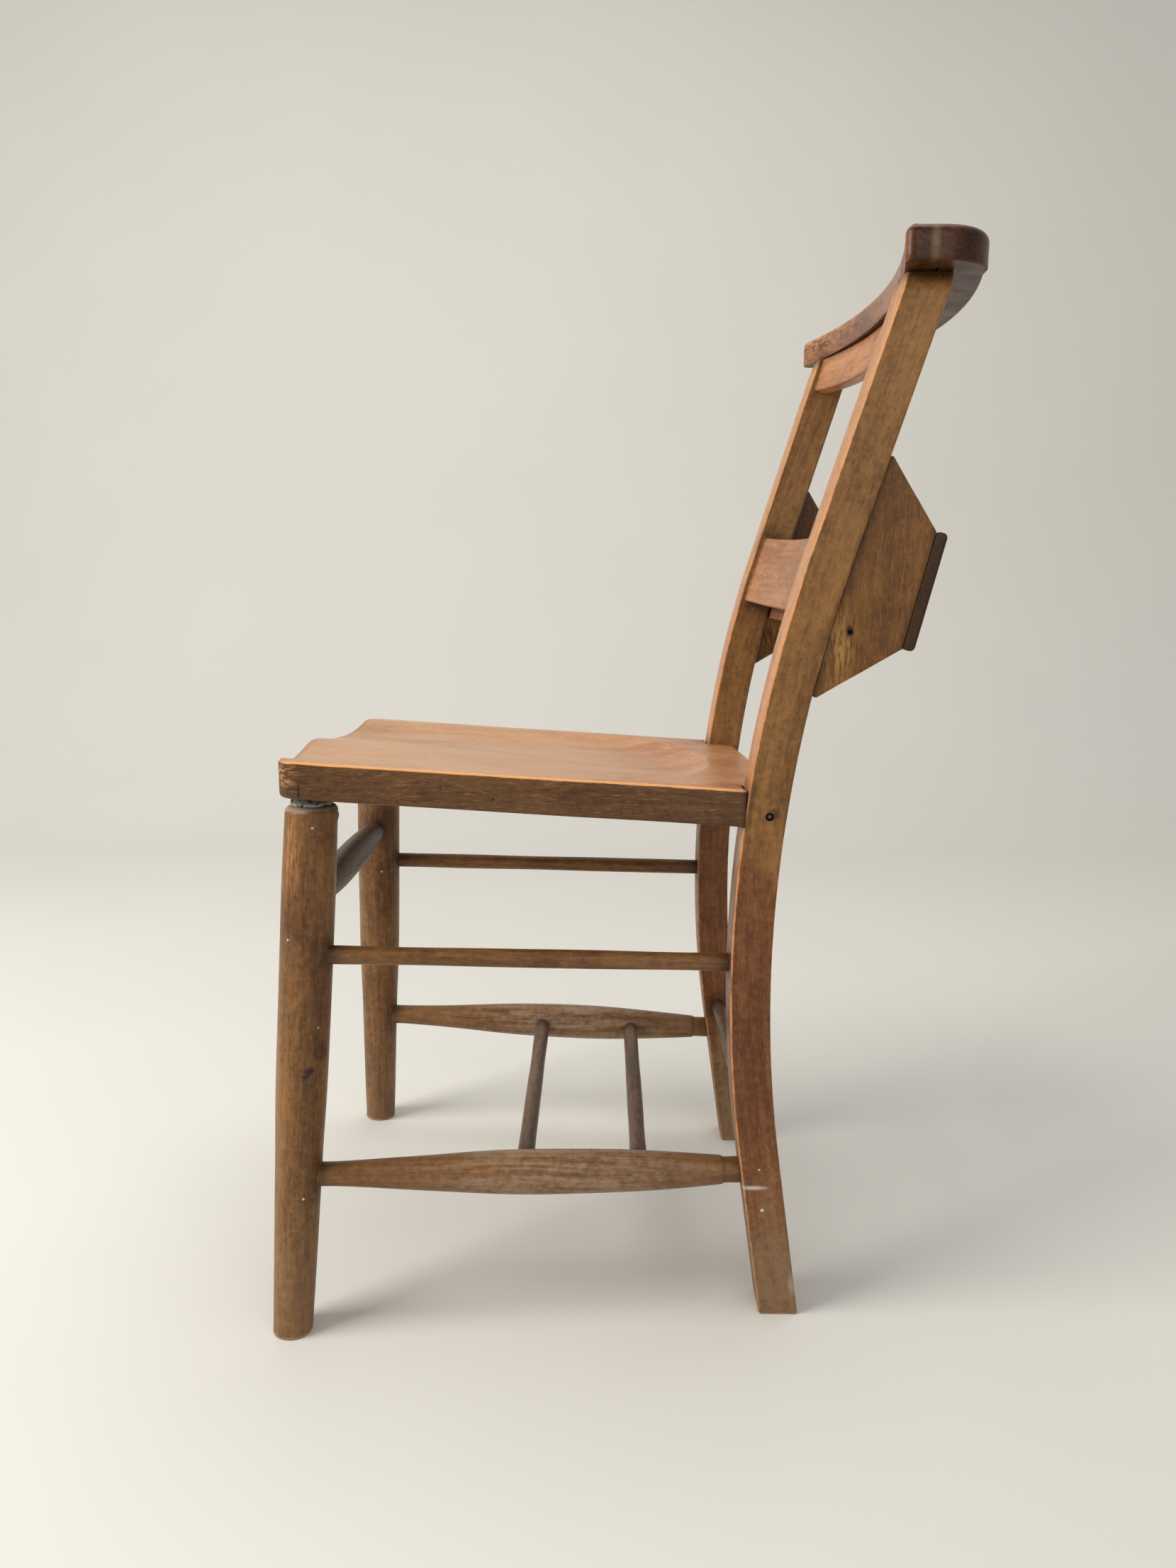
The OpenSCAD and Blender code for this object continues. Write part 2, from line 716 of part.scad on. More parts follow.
// The box leans less than the back. Its frame has its origin where the panels'
// rear edges meet the top of the back board.
box_gap = box_d - post_t;
box_reach = box_d - post_t / 2;
box_floor_z = -box_back_h - box_floor_drop;
box_y = back_y(box_top_at, box_d);
box_z = back_z(box_top_at, box_d);
box_outer_x = post_outer_x(box_z - box_back_h) - panel_inset;
box_inner_x = box_outer_x - panel_t;
module in_box() {
    translate([0, box_y, box_z]) rotate([-box_lean, 0, 0]) children();
}

// A side panel: four-sided, with its long edge against the post.
module box_side(side) {
    color(varnish) centred() sided(side) difference() {
        in_box() translate([box_inner_x, 0, 0]) rotate([90, 0, 90]) {
            linear_extrude(height = panel_t) polygon([
                [0, 0],
                [-box_reach, box_rise * box_reach / box_gap],
                [-box_reach, -box_back_h - box_drop * box_reach / box_gap],
                [0, -box_back_h]
            ]);
        }
        post_blank(glue_gap);
        floor_nail();
        back_nails();
    }
}

module book_box_back() {
    r = box_back_t * 0.45;
    color(dark_wood) centred() difference() {
        in_box() translate([-box_outer_x, 0, -box_back_h]) rotate([90, 0, 90]) {
            linear_extrude(height = 2 * box_outer_x) polygon(concat(
                [[0, 0]],
                arc([box_back_t - r, r], r, -90, 0, 5),
                arc([box_back_t - r, box_back_h - r], r, 0, 90, 5),
                [[0, box_back_h]]
            ));
        }
        for (side = [LEFT, RIGHT]) sided(side) back_nails();
    }
}

module book_box_floor() {
    color(pale_wood) centred() difference() {
        in_box() translate([-box_inner_x, -box_gap - 3, box_floor_z]) {
            cube([2 * box_inner_x, box_gap + 3, box_floor_t]);
        }
        mid_rail_blank(glue_gap);
        for (side = [LEFT, RIGHT]) sided(side) {
            post_blank(glue_gap);
            floor_nail();
        }
    }
}

// ---- fixings ----

// A seat screw goes in through the outer face of a post, level with the board.
screw_z = seat_front_h - seat_t * 0.7 - seat_d * tan(seat_fall);
screw_y = post_front_y(screw_z) + screw_setback;
screw_head_x = post_outer_x(screw_z) - screw_sink;
module seat_screw(grow = 0) {
    translate([screw_head_x + grow, screw_y, screw_z]) rotate([0, -90, 0]) {
        cylinder(h = screw_l + 2 * grow, d = screw_d + 2 * grow);
        cylinder(h = screw_d / 2 + 2 * grow, d = screw_head_d + 2 * grow);
    }
}

module seat_screw_well() {
    translate([screw_head_x, screw_y, screw_z]) rotate([0, 90, 0]) {
        cylinder(h = 2 * screw_sink + CUT, d = screw_head_d + 2 * glue_gap);
    }
}

module seat_screws() {
    color(iron) centred() for (side = [LEFT, RIGHT]) sided(side) seat_screw();
}

// A nail with its head flush in the face that it was driven through.
module nail() {
    cylinder(h = nail_l, d = nail_d);
    cylinder(h = nail_head_t, d = nail_head_d);
}

module floor_nail() {
    in_box() translate([box_outer_x, -box_gap * 0.8, box_floor_z + box_floor_t / 2]) {
        rotate([0, -90, 0]) nail();
    }
}

module back_nails() {
    in_box() for (share = [0.25, 0.75]) {
        translate([box_inner_x + panel_t / 2, box_back_t, -box_back_h * share]) {
            rotate([90, 0, 0]) nail();
        }
    }
}

module box_floor_nails() {
    color(iron) centred() for (side = [LEFT, RIGHT]) sided(side) floor_nail();
}

module box_back_nails() {
    color(iron) centred() for (side = [LEFT, RIGHT]) sided(side) back_nails();
}

// ---- the nodes ----

seat();
front_leg(LEFT);  // front_leg_left
front_leg(RIGHT);  // front_leg_right
leg_joint_filler();
rear_post(LEFT);  // rear_post_left
rear_post(RIGHT);  // rear_post_right
crest_rail();
upper_back_rail();
mid_back_rail();
front_stretcher();
upper_side_stretcher(LEFT);  // upper_side_stretcher_left
upper_side_stretcher(RIGHT);  // upper_side_stretcher_right
lower_side_stretcher(LEFT);  // lower_side_stretcher_left
lower_side_stretcher(RIGHT);  // lower_side_stretcher_right
cross_stretcher_front();
cross_stretcher_rear();
rear_stretcher();
box_side(LEFT);  // book_box_side_left
box_side(RIGHT);  // book_box_side_right
book_box_back();
book_box_floor();
seat_screws();
box_floor_nails();
box_back_nails();
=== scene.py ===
"""A worn chapel chair with a book box on its back.

Every wooden piece is a surface worked out from a formula, with the grain
running along it, and stands exactly where the fixed frame has that piece.
"""

import json

import bpy
import numpy as np
from mathutils import Matrix, Vector

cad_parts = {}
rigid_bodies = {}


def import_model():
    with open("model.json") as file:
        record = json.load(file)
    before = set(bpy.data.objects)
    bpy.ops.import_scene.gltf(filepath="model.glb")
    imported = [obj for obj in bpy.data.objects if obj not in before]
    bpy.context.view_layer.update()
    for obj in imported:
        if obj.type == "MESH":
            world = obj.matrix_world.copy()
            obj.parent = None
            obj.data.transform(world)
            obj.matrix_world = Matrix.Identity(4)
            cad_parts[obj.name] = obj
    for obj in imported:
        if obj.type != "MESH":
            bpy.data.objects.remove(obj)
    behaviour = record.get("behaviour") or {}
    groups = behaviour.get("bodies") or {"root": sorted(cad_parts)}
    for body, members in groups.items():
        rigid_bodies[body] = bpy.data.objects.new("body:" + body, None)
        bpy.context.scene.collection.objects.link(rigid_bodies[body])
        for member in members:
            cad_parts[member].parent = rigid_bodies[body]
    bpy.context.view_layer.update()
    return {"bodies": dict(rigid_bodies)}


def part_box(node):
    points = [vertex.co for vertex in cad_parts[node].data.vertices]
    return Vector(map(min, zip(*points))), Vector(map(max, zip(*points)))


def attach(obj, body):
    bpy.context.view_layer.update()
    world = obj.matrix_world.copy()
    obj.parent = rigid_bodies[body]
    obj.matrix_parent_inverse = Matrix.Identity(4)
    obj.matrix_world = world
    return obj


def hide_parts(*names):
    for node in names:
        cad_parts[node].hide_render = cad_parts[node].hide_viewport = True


bl_info = {
    "name": "Chapel chair",
    "version": (1, 0, 0),
    "blender": (4, 5, 0),
    "location": "View3D > Sidebar > Chapel chair",
    "description": "Builds a worn chapel chair with a book box on its back",
    "category": "Add Mesh",
}

for leftover in list(bpy.data.objects):
    bpy.data.objects.remove(leftover, do_unlink=True)
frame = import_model()
# The chair has no joints, so its one body carries every piece.
(BODY,) = frame["bodies"]
LEFT, RIGHT = 1.0, -1.0
TURN = 2.0 * np.pi


def box(node):
    """Lowest and highest corner of a frame node, as two arrays."""
    low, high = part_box(node)
    return np.array(low, float), np.array(high, float)


def tan(degrees):
    """Tangent of an angle in degrees."""
    return float(np.tan(np.radians(degrees)))


def cos(degrees):
    """Cosine of an angle in degrees."""
    return float(np.cos(np.radians(degrees)))


def sin(degrees):
    """Sine of an angle in degrees."""
    return float(np.sin(np.radians(degrees)))


def smooth(t):
    """Runs from 0 to 1 with level ends: three t squared less two t cubed, with t held to 0 to 1."""
    t = np.clip(t, 0.0, 1.0)
    return t * t * (3.0 - 2.0 * t)


# ---------------------------------------------------------------- settings


def length(label, note, value, low=0.0, high=0.1):
    """A setting that is a length in metres."""
    return bpy.props.FloatProperty(
        name=label, description=note, default=value, min=low, max=high, unit="LENGTH", precision=4
    )


def linear(red, green, blue):
    """Turns a colour written from 0 to 255 into the linear values that a shader takes.

    Each value becomes a share c of 255. A small c is divided by 12.92, and a
    larger one is (c + 0.055) / 1.055 to the power 2.4.
    """
    c = np.array([red, green, blue], float) / 255.0
    c = np.where(c <= 0.04045, c / 12.92, ((c + 0.055) / 1.055) ** 2.4)
    return tuple(float(v) for v in c)


def colour(label, note, red, green, blue):
    """A setting that is a colour, written from 0 to 255."""
    return bpy.props.FloatVectorProperty(
        name=label, description=note, default=linear(red, green, blue),
        size=3, min=0.0, max=1.0, subtype="COLOR",
    )


class ChapelChairEdges(bpy.types.PropertyGroup):
    """How far the edges have been rounded by hands and time."""

    post: length("Post", "Rounding of the rear posts' long edges", 0.0022)
    rail: length("Back rails", "Rounding of the bent rails' edges", 0.0018)
    crest: length("Crest", "Rounding of the crest rail's lower edge", 0.0016)
    crest_top: length("Crest top", "Rounding of the crest rail's upper edge", 0.0070)
    seat: length("Seat", "Rounding of the seat's upper edge", 0.0032)
    seat_under: length("Seat underside", "Rounding of the seat's lower edge", 0.0035)
    panel: length("Box panels", "Rounding of the book box panels' edges", 0.0011)
    box_back: length("Box back", "Rounding of the book box's back board", 0.0038)
    shoulder: length("Leg shoulder", "Rounding of the front legs' shoulders", 0.0050)
    chatter: length("Unevenness", "How far the hand-worked faces stray from true", 0.00022)


class ChapelChairTones(bpy.types.PropertyGroup):
    """Colours of the stained and varnished wood."""

    # The seat's top and edges are one wood: the edges' darker tones are painted shade, and the top's paler
    # tones carry painted sheen.
    seat_pale: colour("Seat, pale", "Light grain of the seat", 204, 146, 100)
    seat_dark: colour("Seat, dark", "Dark grain of the seat", 156, 98, 58)
    # The sat-on tone is wear by sitters together with painted sheen.
    seat_sat_sheen: colour("Seat, sat on", "Seat where the varnish is worn dull", 200, 160, 124)
    side_shade_pale: colour("Seat side, pale", "Light grain of the seat's edge", 111, 77, 44)
    side_shade_dark: colour("Seat side, dark", "Dark grain of the seat's edge", 75, 46, 23)
    post_pale: colour("Post, pale", "Light grain of the rear posts", 152, 108, 59)
    post_dark: colour("Post, dark", "Dark grain of the rear posts", 102, 67, 34)
    # The posts take darker tones below the seat's height.
    post_low_pale: colour("Post foot, pale", "Light grain of the rear posts below the seat", 136, 86, 48)
    post_low_dark: colour("Post foot, dark", "Dark grain of the rear posts below the seat", 88, 48, 24)
    leg_pale: colour("Turned, pale", "Light grain of the turned pieces", 142, 100, 56)
    leg_dark: colour("Turned, dark", "Dark grain of the turned pieces", 84, 51, 24)
    cross_pale: colour("Cross rods, pale", "Light grain of the front and cross stretchers", 112, 87, 66)
    cross_dark: colour("Cross rods, dark", "Dark grain of the front and cross stretchers", 66, 47, 35)
    rail_pale: colour("Rail, pale", "Light grain of the bent back rails", 194, 137, 92)
    rail_dark: colour("Rail, dark", "Dark grain of the bent back rails", 148, 94, 58)
    crest_pale: colour("Crest, pale", "Light grain of the crest rail", 152, 95, 57)
    crest_dark: colour("Crest, dark", "Dark grain of the crest rail", 78, 40, 22)
    box_pale: colour("Box, pale", "Light grain of the book box", 128, 86, 40)
    box_dark: colour("Box, dark", "Dark grain of the book box", 88, 55, 22)
    streak: colour("Box, streak", "Yellow streaks near the nail of the book box", 190, 146, 78)
    bare: colour("Bare wood", "Wood where the varnish has rubbed off", 206, 142, 88)
    # The rim tone also paints the highlight on the bowl's rim and on the front corner's rounding.
    rim: colour("Seat rim", "Bright worn upper edge of the seat", 240, 170, 104)
    foot: colour("Scuffed wood", "Dull wood at the scuffed feet", 140, 116, 86)
    # The dust tone on the lower stretchers also paints their grey sheen.
    dust: colour("Rubbed dull", "Grey bloom on the rubbed stretchers", 176, 152, 128)
    # The grime tone is also laid as painted shade under the crest and where the leg necks meet the seat.
    grime: colour("Grime", "Dirt in joints and corners", 36, 23, 14)
    # The posts' forward faces take paler tones than their other faces: painted light from the front.
    front_lit_pale: colour("Post front, pale", "Light grain of the posts' front faces", 204, 148, 100)
    front_lit_dark: colour("Post front, dark", "Dark grain of the posts' front faces", 160, 106, 66)
    paint: colour("Specks", "Old splashes of pale paint", 230, 224, 210)
    # The putty tone, on its upper part, is dirt together with painted shadow under the seat.
    putty: colour("Putty", "Hard putty in the open leg joint", 88, 90, 74)
    putty_pale: colour("Putty, pale", "Putty where it was smoothed down on the leg", 168, 174, 164)
    iron: colour("Iron", "Rusted nail and screw heads", 22, 16, 12)


class ChapelChairStage(bpy.types.PropertyGroup):
    """The floor, the lamps and the camera."""

    floor: colour("Floor", "Colour of the floor and the backdrop", 228, 225, 217)
    key: bpy.props.FloatProperty(
        name="Key lamp", description="Power of the large lamp before the chair", default=72.0
    )
    fill: bpy.props.FloatProperty(
        name="Fill lamp", description="Power of the lamp beside the chair", default=13.0
    )
    sky: bpy.props.FloatProperty(
        name="Room light", description="Strength of the light from all round", default=0.38
    )
    camera_x: length("Camera distance", "Camera's distance to the left of the middle", 1.0800, 0.0, 9.0)
    camera_y: length("Camera, back", "Camera's distance behind the middle", -0.0140, -9.0, 9.0)
    camera_z: length("Camera height", "Camera's height above the floor", 0.6151, 0.0, 9.0)
    yaw: bpy.props.FloatProperty(
        name="Yaw", description="Camera's turn towards the front", default=np.radians(0.618), subtype="ANGLE"
    )
    pitch: bpy.props.FloatProperty(
        name="Pitch", description="Camera's downward tilt", default=np.radians(9.974), subtype="ANGLE"
    )
    lens: bpy.props.FloatProperty(
        name="Lens", description="Focal length for a frame 36 mm high", default=27.03, unit="CAMERA"
    )


def edges():
    """The settings for rounded edges."""
    return bpy.context.scene.chapel_chair_edges


def tones():
    """The settings for colours."""
    return bpy.context.scene.chapel_chair_tones


def stage():
    """The settings for the floor, the lamps and the camera."""
    return bpy.context.scene.chapel_chair_stage


# ------------------------------------------------------- lines of the chair

# Lengths are in metres and angles in degrees.
POST_WIDTH = 0.0360
POST_DEPTH = 0.0325
POST_SPLAY = 1.45
FOOT_RAKE = 8.0
BACK_LEAN = 17.6
BEND_RADIUS = 1.1140
BEND_HEIGHT = 0.3930
RAIL_RADIUS = 0.7000
RAIL_DEPTH = 0.0110
RAIL_SETBACK = 0.0050
RAIL_TENON = 0.0060
SEAT_FALL = 3.6
SEAT_ROLL = 1.8
SEAT_BOW = 0.0190
SEAT_THICKNESS = 0.0300
SEAT_CORNER = 0.0140
SEAT_TONGUE = 0.0240
SEAT_CLEARANCE = 0.0004
LEG_SPLAY = 6.9
LEG_RAKE = 2.7
LEG_FOOT_REACH = 0.0161
SHOULDER_Z = 0.4335
BOX_LEAN = 14.0
BOX_BACK_SHORT = 0.0022

POST_LOW, POST_HIGH = box("rear_post_left")
SEAT_LOW, SEAT_HIGH = box("seat")
CREST_LOW, CREST_HIGH = box("crest_rail")
LEG_LOW, LEG_HIGH = box("front_leg_left")
BACK_LOW, BACK_HIGH = box("book_box_back")

BEND_Y = POST_LOW[1] + BEND_RADIUS
BEND_TANGENT = BEND_RADIUS * tan((FOOT_RAKE + BACK_LEAN) / 2.0)
BEND_Z = BEND_HEIGHT - BEND_TANGENT * cos(FOOT_RAKE) + BEND_RADIUS * sin(FOOT_RAKE)


def post_y(z, depth=0.0):
    """Y of the post's side outline at height z, a depth behind its front face.

    Below the bend a straight line raked backwards, in the bend an arc round
    one centre, above it a straight line that leans back.
    """
    z = np.asarray(z, float)
    r = BEND_RADIUS - depth
    low_z = BEND_Z - r * sin(FOOT_RAKE)
    high_z = BEND_Z + r * sin(BACK_LEAN)
    low = BEND_Y - r * cos(FOOT_RAKE) + (low_z - z) * tan(FOOT_RAKE)
    high = BEND_Y - r * cos(BACK_LEAN) + (z - high_z) * tan(BACK_LEAN)
    arc = BEND_Y - np.sqrt(np.maximum(r * r - (z - BEND_Z) ** 2, 0.0))
    return np.where(z < low_z, low, np.where(z > high_z, high, arc))


def post_inner(z):
    """X of the left post's inner face at height z: a straight line that splays outwards."""
    return POST_LOW[0] + np.asarray(z, float) * tan(POST_SPLAY)


def post_outer(z):
    """X of the left post's outer face at height z: the inner face plus the post's width."""
    return post_inner(z) + POST_WIDTH


# Y at which the straight upper line of the posts' fronts meets the bend's height.
VERTEX_Y = float(post_y(1.0)) - (1.0 - BEND_HEIGHT) * tan(BACK_LEAN)


def on_back(x, behind, up):
    """Points given by x, a distance behind the posts' front line and a distance up its slope."""
    y = VERTEX_Y + up * sin(BACK_LEAN) + behind * cos(BACK_LEAN)
    z = BEND_HEIGHT + up * cos(BACK_LEAN) - behind * sin(BACK_LEAN)
    return np.stack(np.broadcast_arrays(x, y, z), -1)


LEG_FOOT = np.array([LEG_HIGH[0] - LEG_FOOT_REACH, LEG_LOW[1] + LEG_FOOT_REACH, 0.0])
LEG_SLOPE = np.array([-tan(LEG_SPLAY), tan(LEG_RAKE), 1.0])


def leg_axis(z):
    """The line of the left front leg at height z: its foot plus z times its slope."""
    return LEG_FOOT + np.asarray(z, float)[..., None] * LEG_SLOPE


SEAT_FRONT = SEAT_LOW[1] + SEAT_BOW
SEAT_REAR = SEAT_HIGH[1] - SEAT_TONGUE
SEAT_HALF = SEAT_HIGH[0]
SEAT_TOP = SEAT_HIGH[2] + SEAT_CLEARANCE


def seat_plane(x, y):
    """Height of the seat's flat top: it falls to the back and to the sitter's right."""
    return SEAT_TOP - (y - SEAT_FRONT) * tan(SEAT_FALL) - (SEAT_HALF - x) * tan(SEAT_ROLL)


def seat_edge(x):
    """Y of the seat's front edge: a parabola that stands out by the bow at its middle."""
    return SEAT_FRONT - SEAT_BOW * (1.0 - (x / SEAT_HALF) ** 2)


BOX_ORIGIN_Z = BACK_HIGH[2]
BOX_ORIGIN_Y = BACK_LOW[1] + (BACK_HIGH[2] - BACK_LOW[2]) * tan(BOX_LEAN)
BOX_BACK_HEIGHT = (BACK_HIGH[2] - BACK_LOW[2]) / cos(BOX_LEAN) - BOX_BACK_SHORT


def in_box(x, behind, up):
    """Points of the book box's own leaning frame, from the top of its back board."""
    y = BOX_ORIGIN_Y + up * sin(BOX_LEAN) + behind * cos(BOX_LEAN)
    z = BOX_ORIGIN_Z + up * cos(BOX_LEAN) - behind * sin(BOX_LEAN)
    return np.stack(np.broadcast_arrays(x, y, z), -1)


# --------------------------------------------------------- surface building


def chatter(points, seed):
    """Slow waves in three directions, a smooth stand-in for hand-worked faces.

    Three sines of slanting sums of x, y and z, each shifted by the seed, are
    added with weights 1, 1 and 0.6 and divided by 2.6.
    """
    x, y, z = points[..., 0], points[..., 1], points[..., 2]
    a = np.sin(61.0 * x + 37.0 * y + 23.0 * z + seed)
    b = np.sin(-43.0 * x + 71.0 * y + 29.0 * z + 2.3 * seed)
    c = np.sin(97.0 * x - 31.0 * y + 53.0 * z + 3.1 * seed)
    return (a + b + 0.6 * c) / 2.6


NO_TRIANGLES = np.zeros((0, 3), int)


def put_mesh(name, points, quads, triangles, grain, marks):
    """A mesh from whole arrays, with its grain and wear written on its points.

    grain holds each point's place across, across and along the wood. marks
    holds how much it is an edge, how much dirt and painted shade lie there and
    how much it is cut end grain.
    """
    mesh = bpy.data.meshes.new(name)
    corners = np.concatenate([quads.ravel(), triangles.ravel()]).astype(np.int32)
    sizes = np.concatenate([np.full(len(quads), 4), np.full(len(triangles), 3)])
    starts = np.concatenate([[0], np.cumsum(sizes)[:-1]]).astype(np.int32)
    mesh.vertices.add(len(points))
    mesh.vertices.foreach_set("co", points.astype(np.float32).ravel())
    mesh.loops.add(len(corners))
    mesh.loops.foreach_set("vertex_index", corners)
    mesh.polygons.add(len(sizes))
    mesh.polygons.foreach_set("loop_start", starts)
    mesh.polygons.foreach_set("use_smooth", np.ones(len(sizes), bool))
    mesh.update(calc_edges=True)
    mesh.validate()
    for title, values in (("grain", grain), ("marks", marks)):
        layer = mesh.attributes.new(title, "FLOAT_VECTOR", "POINT")
        layer.data.foreach_set("vector", values.astype(np.float32).ravel())
    return mesh


def tube_arrays(rings, flip=False):
    """Quads and end triangles that close a stack of m rings of n points.

    Point i of ring k is number k n + i. Each quad joins two neighbours of one
    ring to the same two of the next, and each end ring is closed by a fan to
    its middle point, numbers m n and m n + 1. flip turns the faces round.
    """
    m, n = rings.shape[:2]
    k = np.arange(m - 1)[:, None] * n
    i = np.arange(n)[None, :]
    j = (i + 1) % n
    quads = np.stack([k + i, k + j, k + n + j, k + n + i], -1).reshape(-1, 4)
    first, last = m * n, m * n + 1
    i, j = np.arange(n), (np.arange(n) + 1) % n
    low = np.stack([np.full(n, first), j, i], -1)
    high = np.stack([np.full(n, last), (m - 1) * n + i, (m - 1) * n + j], -1)
    triangles = np.concatenate([low, high])
    if flip:
        quads, triangles = quads[:, ::-1], triangles[:, ::-1]
    return quads, triangles


def with_ends(values):
    """The rings' values in one list, followed by the mean of the first ring and of the last."""
    flat = values.reshape(-1, 3)
    return np.concatenate([flat, values[0].mean(0)[None], values[-1].mean(0)[None]])


def closed_tube(name, rings, grain, marks, flip=False):
    """A closed surface through a stack of rings, with a middle point at each end.

    grain and marks are arrays of the same shape as rings. flip turns the faces
    when the rings run the other way round.
    """
    quads, triangles = tube_arrays(rings, flip)
    return put_mesh(name, with_ends(rings), quads, triangles, with_ends(grain), with_ends(marks))


def joint_dirt(points, joints, reach=0.016):
    """Dirt that is thickest at each joint and fades over a short reach.

    It is e to the power of minus the square of distance over reach, and the
    largest of these where there are several joints.
    """
    dirt = np.zeros(points.shape[:-1])
    for joint in joints:
        away = np.linalg.norm(points - np.asarray(joint, float), axis=-1)
        dirt = np.maximum(dirt, np.exp(-((away / reach) ** 2)))
    return dirt


def marks_of(edge, dirt, end):
    """Edge, dirt and end-grain marks as three channels of one array; the dirt channel also carries painted
    shade.
    """
    edge, dirt, end = np.broadcast_arrays(edge, dirt, end)
    return np.stack([edge, dirt, end], -1).astype(float)


def outward(mesh):
    """True if the closed mesh's faces point outwards: its signed volume is positive.

    Six times the volume is the sum, over all triangles, of one corner dotted
    with the cross product of the other two.
    """
    mesh.calc_loop_triangles()
    count = len(mesh.loop_triangles)
    corners = np.empty(count * 3, np.int32)
    mesh.loop_triangles.foreach_get("vertices", corners)
    spots = np.empty(len(mesh.vertices) * 3, np.float32)
    mesh.vertices.foreach_get("co", spots)
    a, b, c = spots.reshape(-1, 3).astype(float)[corners.reshape(-1, 3)].transpose(1, 0, 2)
    return float(np.einsum("ij,ij->i", a, np.cross(b, c)).sum()) > 0.0


def mirrored(points):
    """The same points on the other side of the chair: x changes its sign."""
    return points * np.array([-1.0, 1.0, 1.0])


def add_piece(name, mesh, material, slot, *nodes):
    """Shows the mesh in place of the frame's nodes, riding on the chair's one body."""
    if not outward(mesh):
        raise RuntimeError(name + " is inside out")
    piece = bpy.data.objects.new(name, mesh)
    bpy.context.scene.collection.objects.link(piece)
    mesh.materials.append(material)
    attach(piece, BODY)
    if nodes:
        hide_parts(*nodes)
    return piece


CORNER_STEPS = 6


def section_plan(side_steps):
    """A rounded rectangle's plan: where each point lies and which way its corner radius pushes it.

    The points run anticlockwise: a quarter arc, then a straight side, four
    times. The third array is 1 on the arcs and 0 in the middle of the sides.
    """
    place, push, edge = [], [], []
    signs = np.array([[1, 1], [-1, 1], [-1, -1], [1, -1]], float)
    for k in range(4):
        angle = np.radians(90.0 * k + np.linspace(0.0, 90.0, CORNER_STEPS + 1))
        place.append(np.repeat(signs[k][None], CORNER_STEPS + 1, 0))
        push.append(np.stack([np.cos(angle), np.sin(angle)], -1))
        edge.append(np.sin(np.linspace(0.0, np.pi, CORNER_STEPS + 1)) * 0.6 + 0.4)  # 1 at mid arc
        t = (0.5 - 0.5 * np.cos(np.pi * np.arange(1, side_steps) / side_steps))[:, None]
        place.append(signs[k] * (1.0 - t) + signs[(k + 1) % 4] * t)
        push.append(np.repeat(push[-1][-1:], side_steps - 1, 0))
        edge.append(np.zeros(side_steps - 1))
    return np.concatenate(place), np.concatenate(push), np.concatenate(edge)


def rounded_section(width, height, radius, side_steps):
    """Rounded rectangles, one for each entry of width, height and radius, centred on 0.

    A point is its corner's place times half the size less the radius, plus its
    push times the radius.
    """
    place, push, edge = section_plan(side_steps)
    width, height, radius = (np.asarray(v, float)[:, None] for v in np.broadcast_arrays(width, height, radius))
    u = place[:, 0] * (width / 2.0 - radius) + push[:, 0] * radius
    v = place[:, 1] * (height / 2.0 - radius) + push[:, 1] * radius
    return u, v, np.broadcast_to(edge, u.shape)


def end_rounding(steps, radius):
    """Inset and distance for rings that round an end off by a quarter circle.

    Both run with an angle from 0 to 90 degrees: the inset is the radius times
    1 less its sine, and the distance is the radius times 1 less its cosine.
    """
    a = np.linspace(0.0, np.pi / 2.0, steps)
    return radius * (1.0 - np.sin(a)), radius * (1.0 - np.cos(a))


def turned(start, finish, along, radius, steps=48, seed=0.0, uneven=1.0):
    """A turned piece: circles of the given radii round the line from start to finish.

    A point is start, plus its distance along the axis, plus the radius times
    the cosine and sine of its turn on two lines across the axis. along holds
    each circle's distance from start in metres. The surface strays from the
    true circle by slow waves, as old turned work does.
    """
    start, finish = np.asarray(start, float), np.asarray(finish, float)
    axis = (finish - start) / np.linalg.norm(finish - start)
    across = np.cross(axis, [0.0, 0.0, 1.0] if abs(axis[2]) < 0.9 else [0.0, 1.0, 0.0])
    across /= np.linalg.norm(across)
    other = np.cross(axis, across)
    angle = TURN * np.arange(steps) / steps
    circle = np.cos(angle)[:, None] * across + np.sin(angle)[:, None] * other
    along, radius = np.asarray(along, float), np.asarray(radius, float)
    rings = start + along[:, None, None] * axis + radius[:, None, None] * circle
    inside = radius > radius.max() * 0.3
    shift = edges().chatter * uneven * chatter(rings * 0.8, seed) * inside[:, None]
    rings = rings + shift[..., None] * circle
    length_along = np.broadcast_to(along[:, None], (len(along), steps))
    grain = np.stack([radius[:, None] * np.cos(angle), radius[:, None] * np.sin(angle), length_along], -1)
    station = along + 1e-9 * np.arange(len(along))
    bend = np.abs(np.gradient(np.gradient(radius, station), station))
    edge = np.clip(bend * 0.004, 0.0, 1.0)[:, None] * np.ones(steps)
    return rings, grain, marks_of(edge, 0.0, 0.0)


def tube_piece(name, rings, grain, marks):
    """Makes the closed tube, turned so that its faces point outwards."""
    mesh = closed_tube(name, rings, grain, marks)
    if not outward(mesh):
        bpy.data.meshes.remove(mesh)
        mesh = closed_tube(name, rings, grain, marks, flip=True)
    return mesh


# ------------------------------------------------------------------ finishes


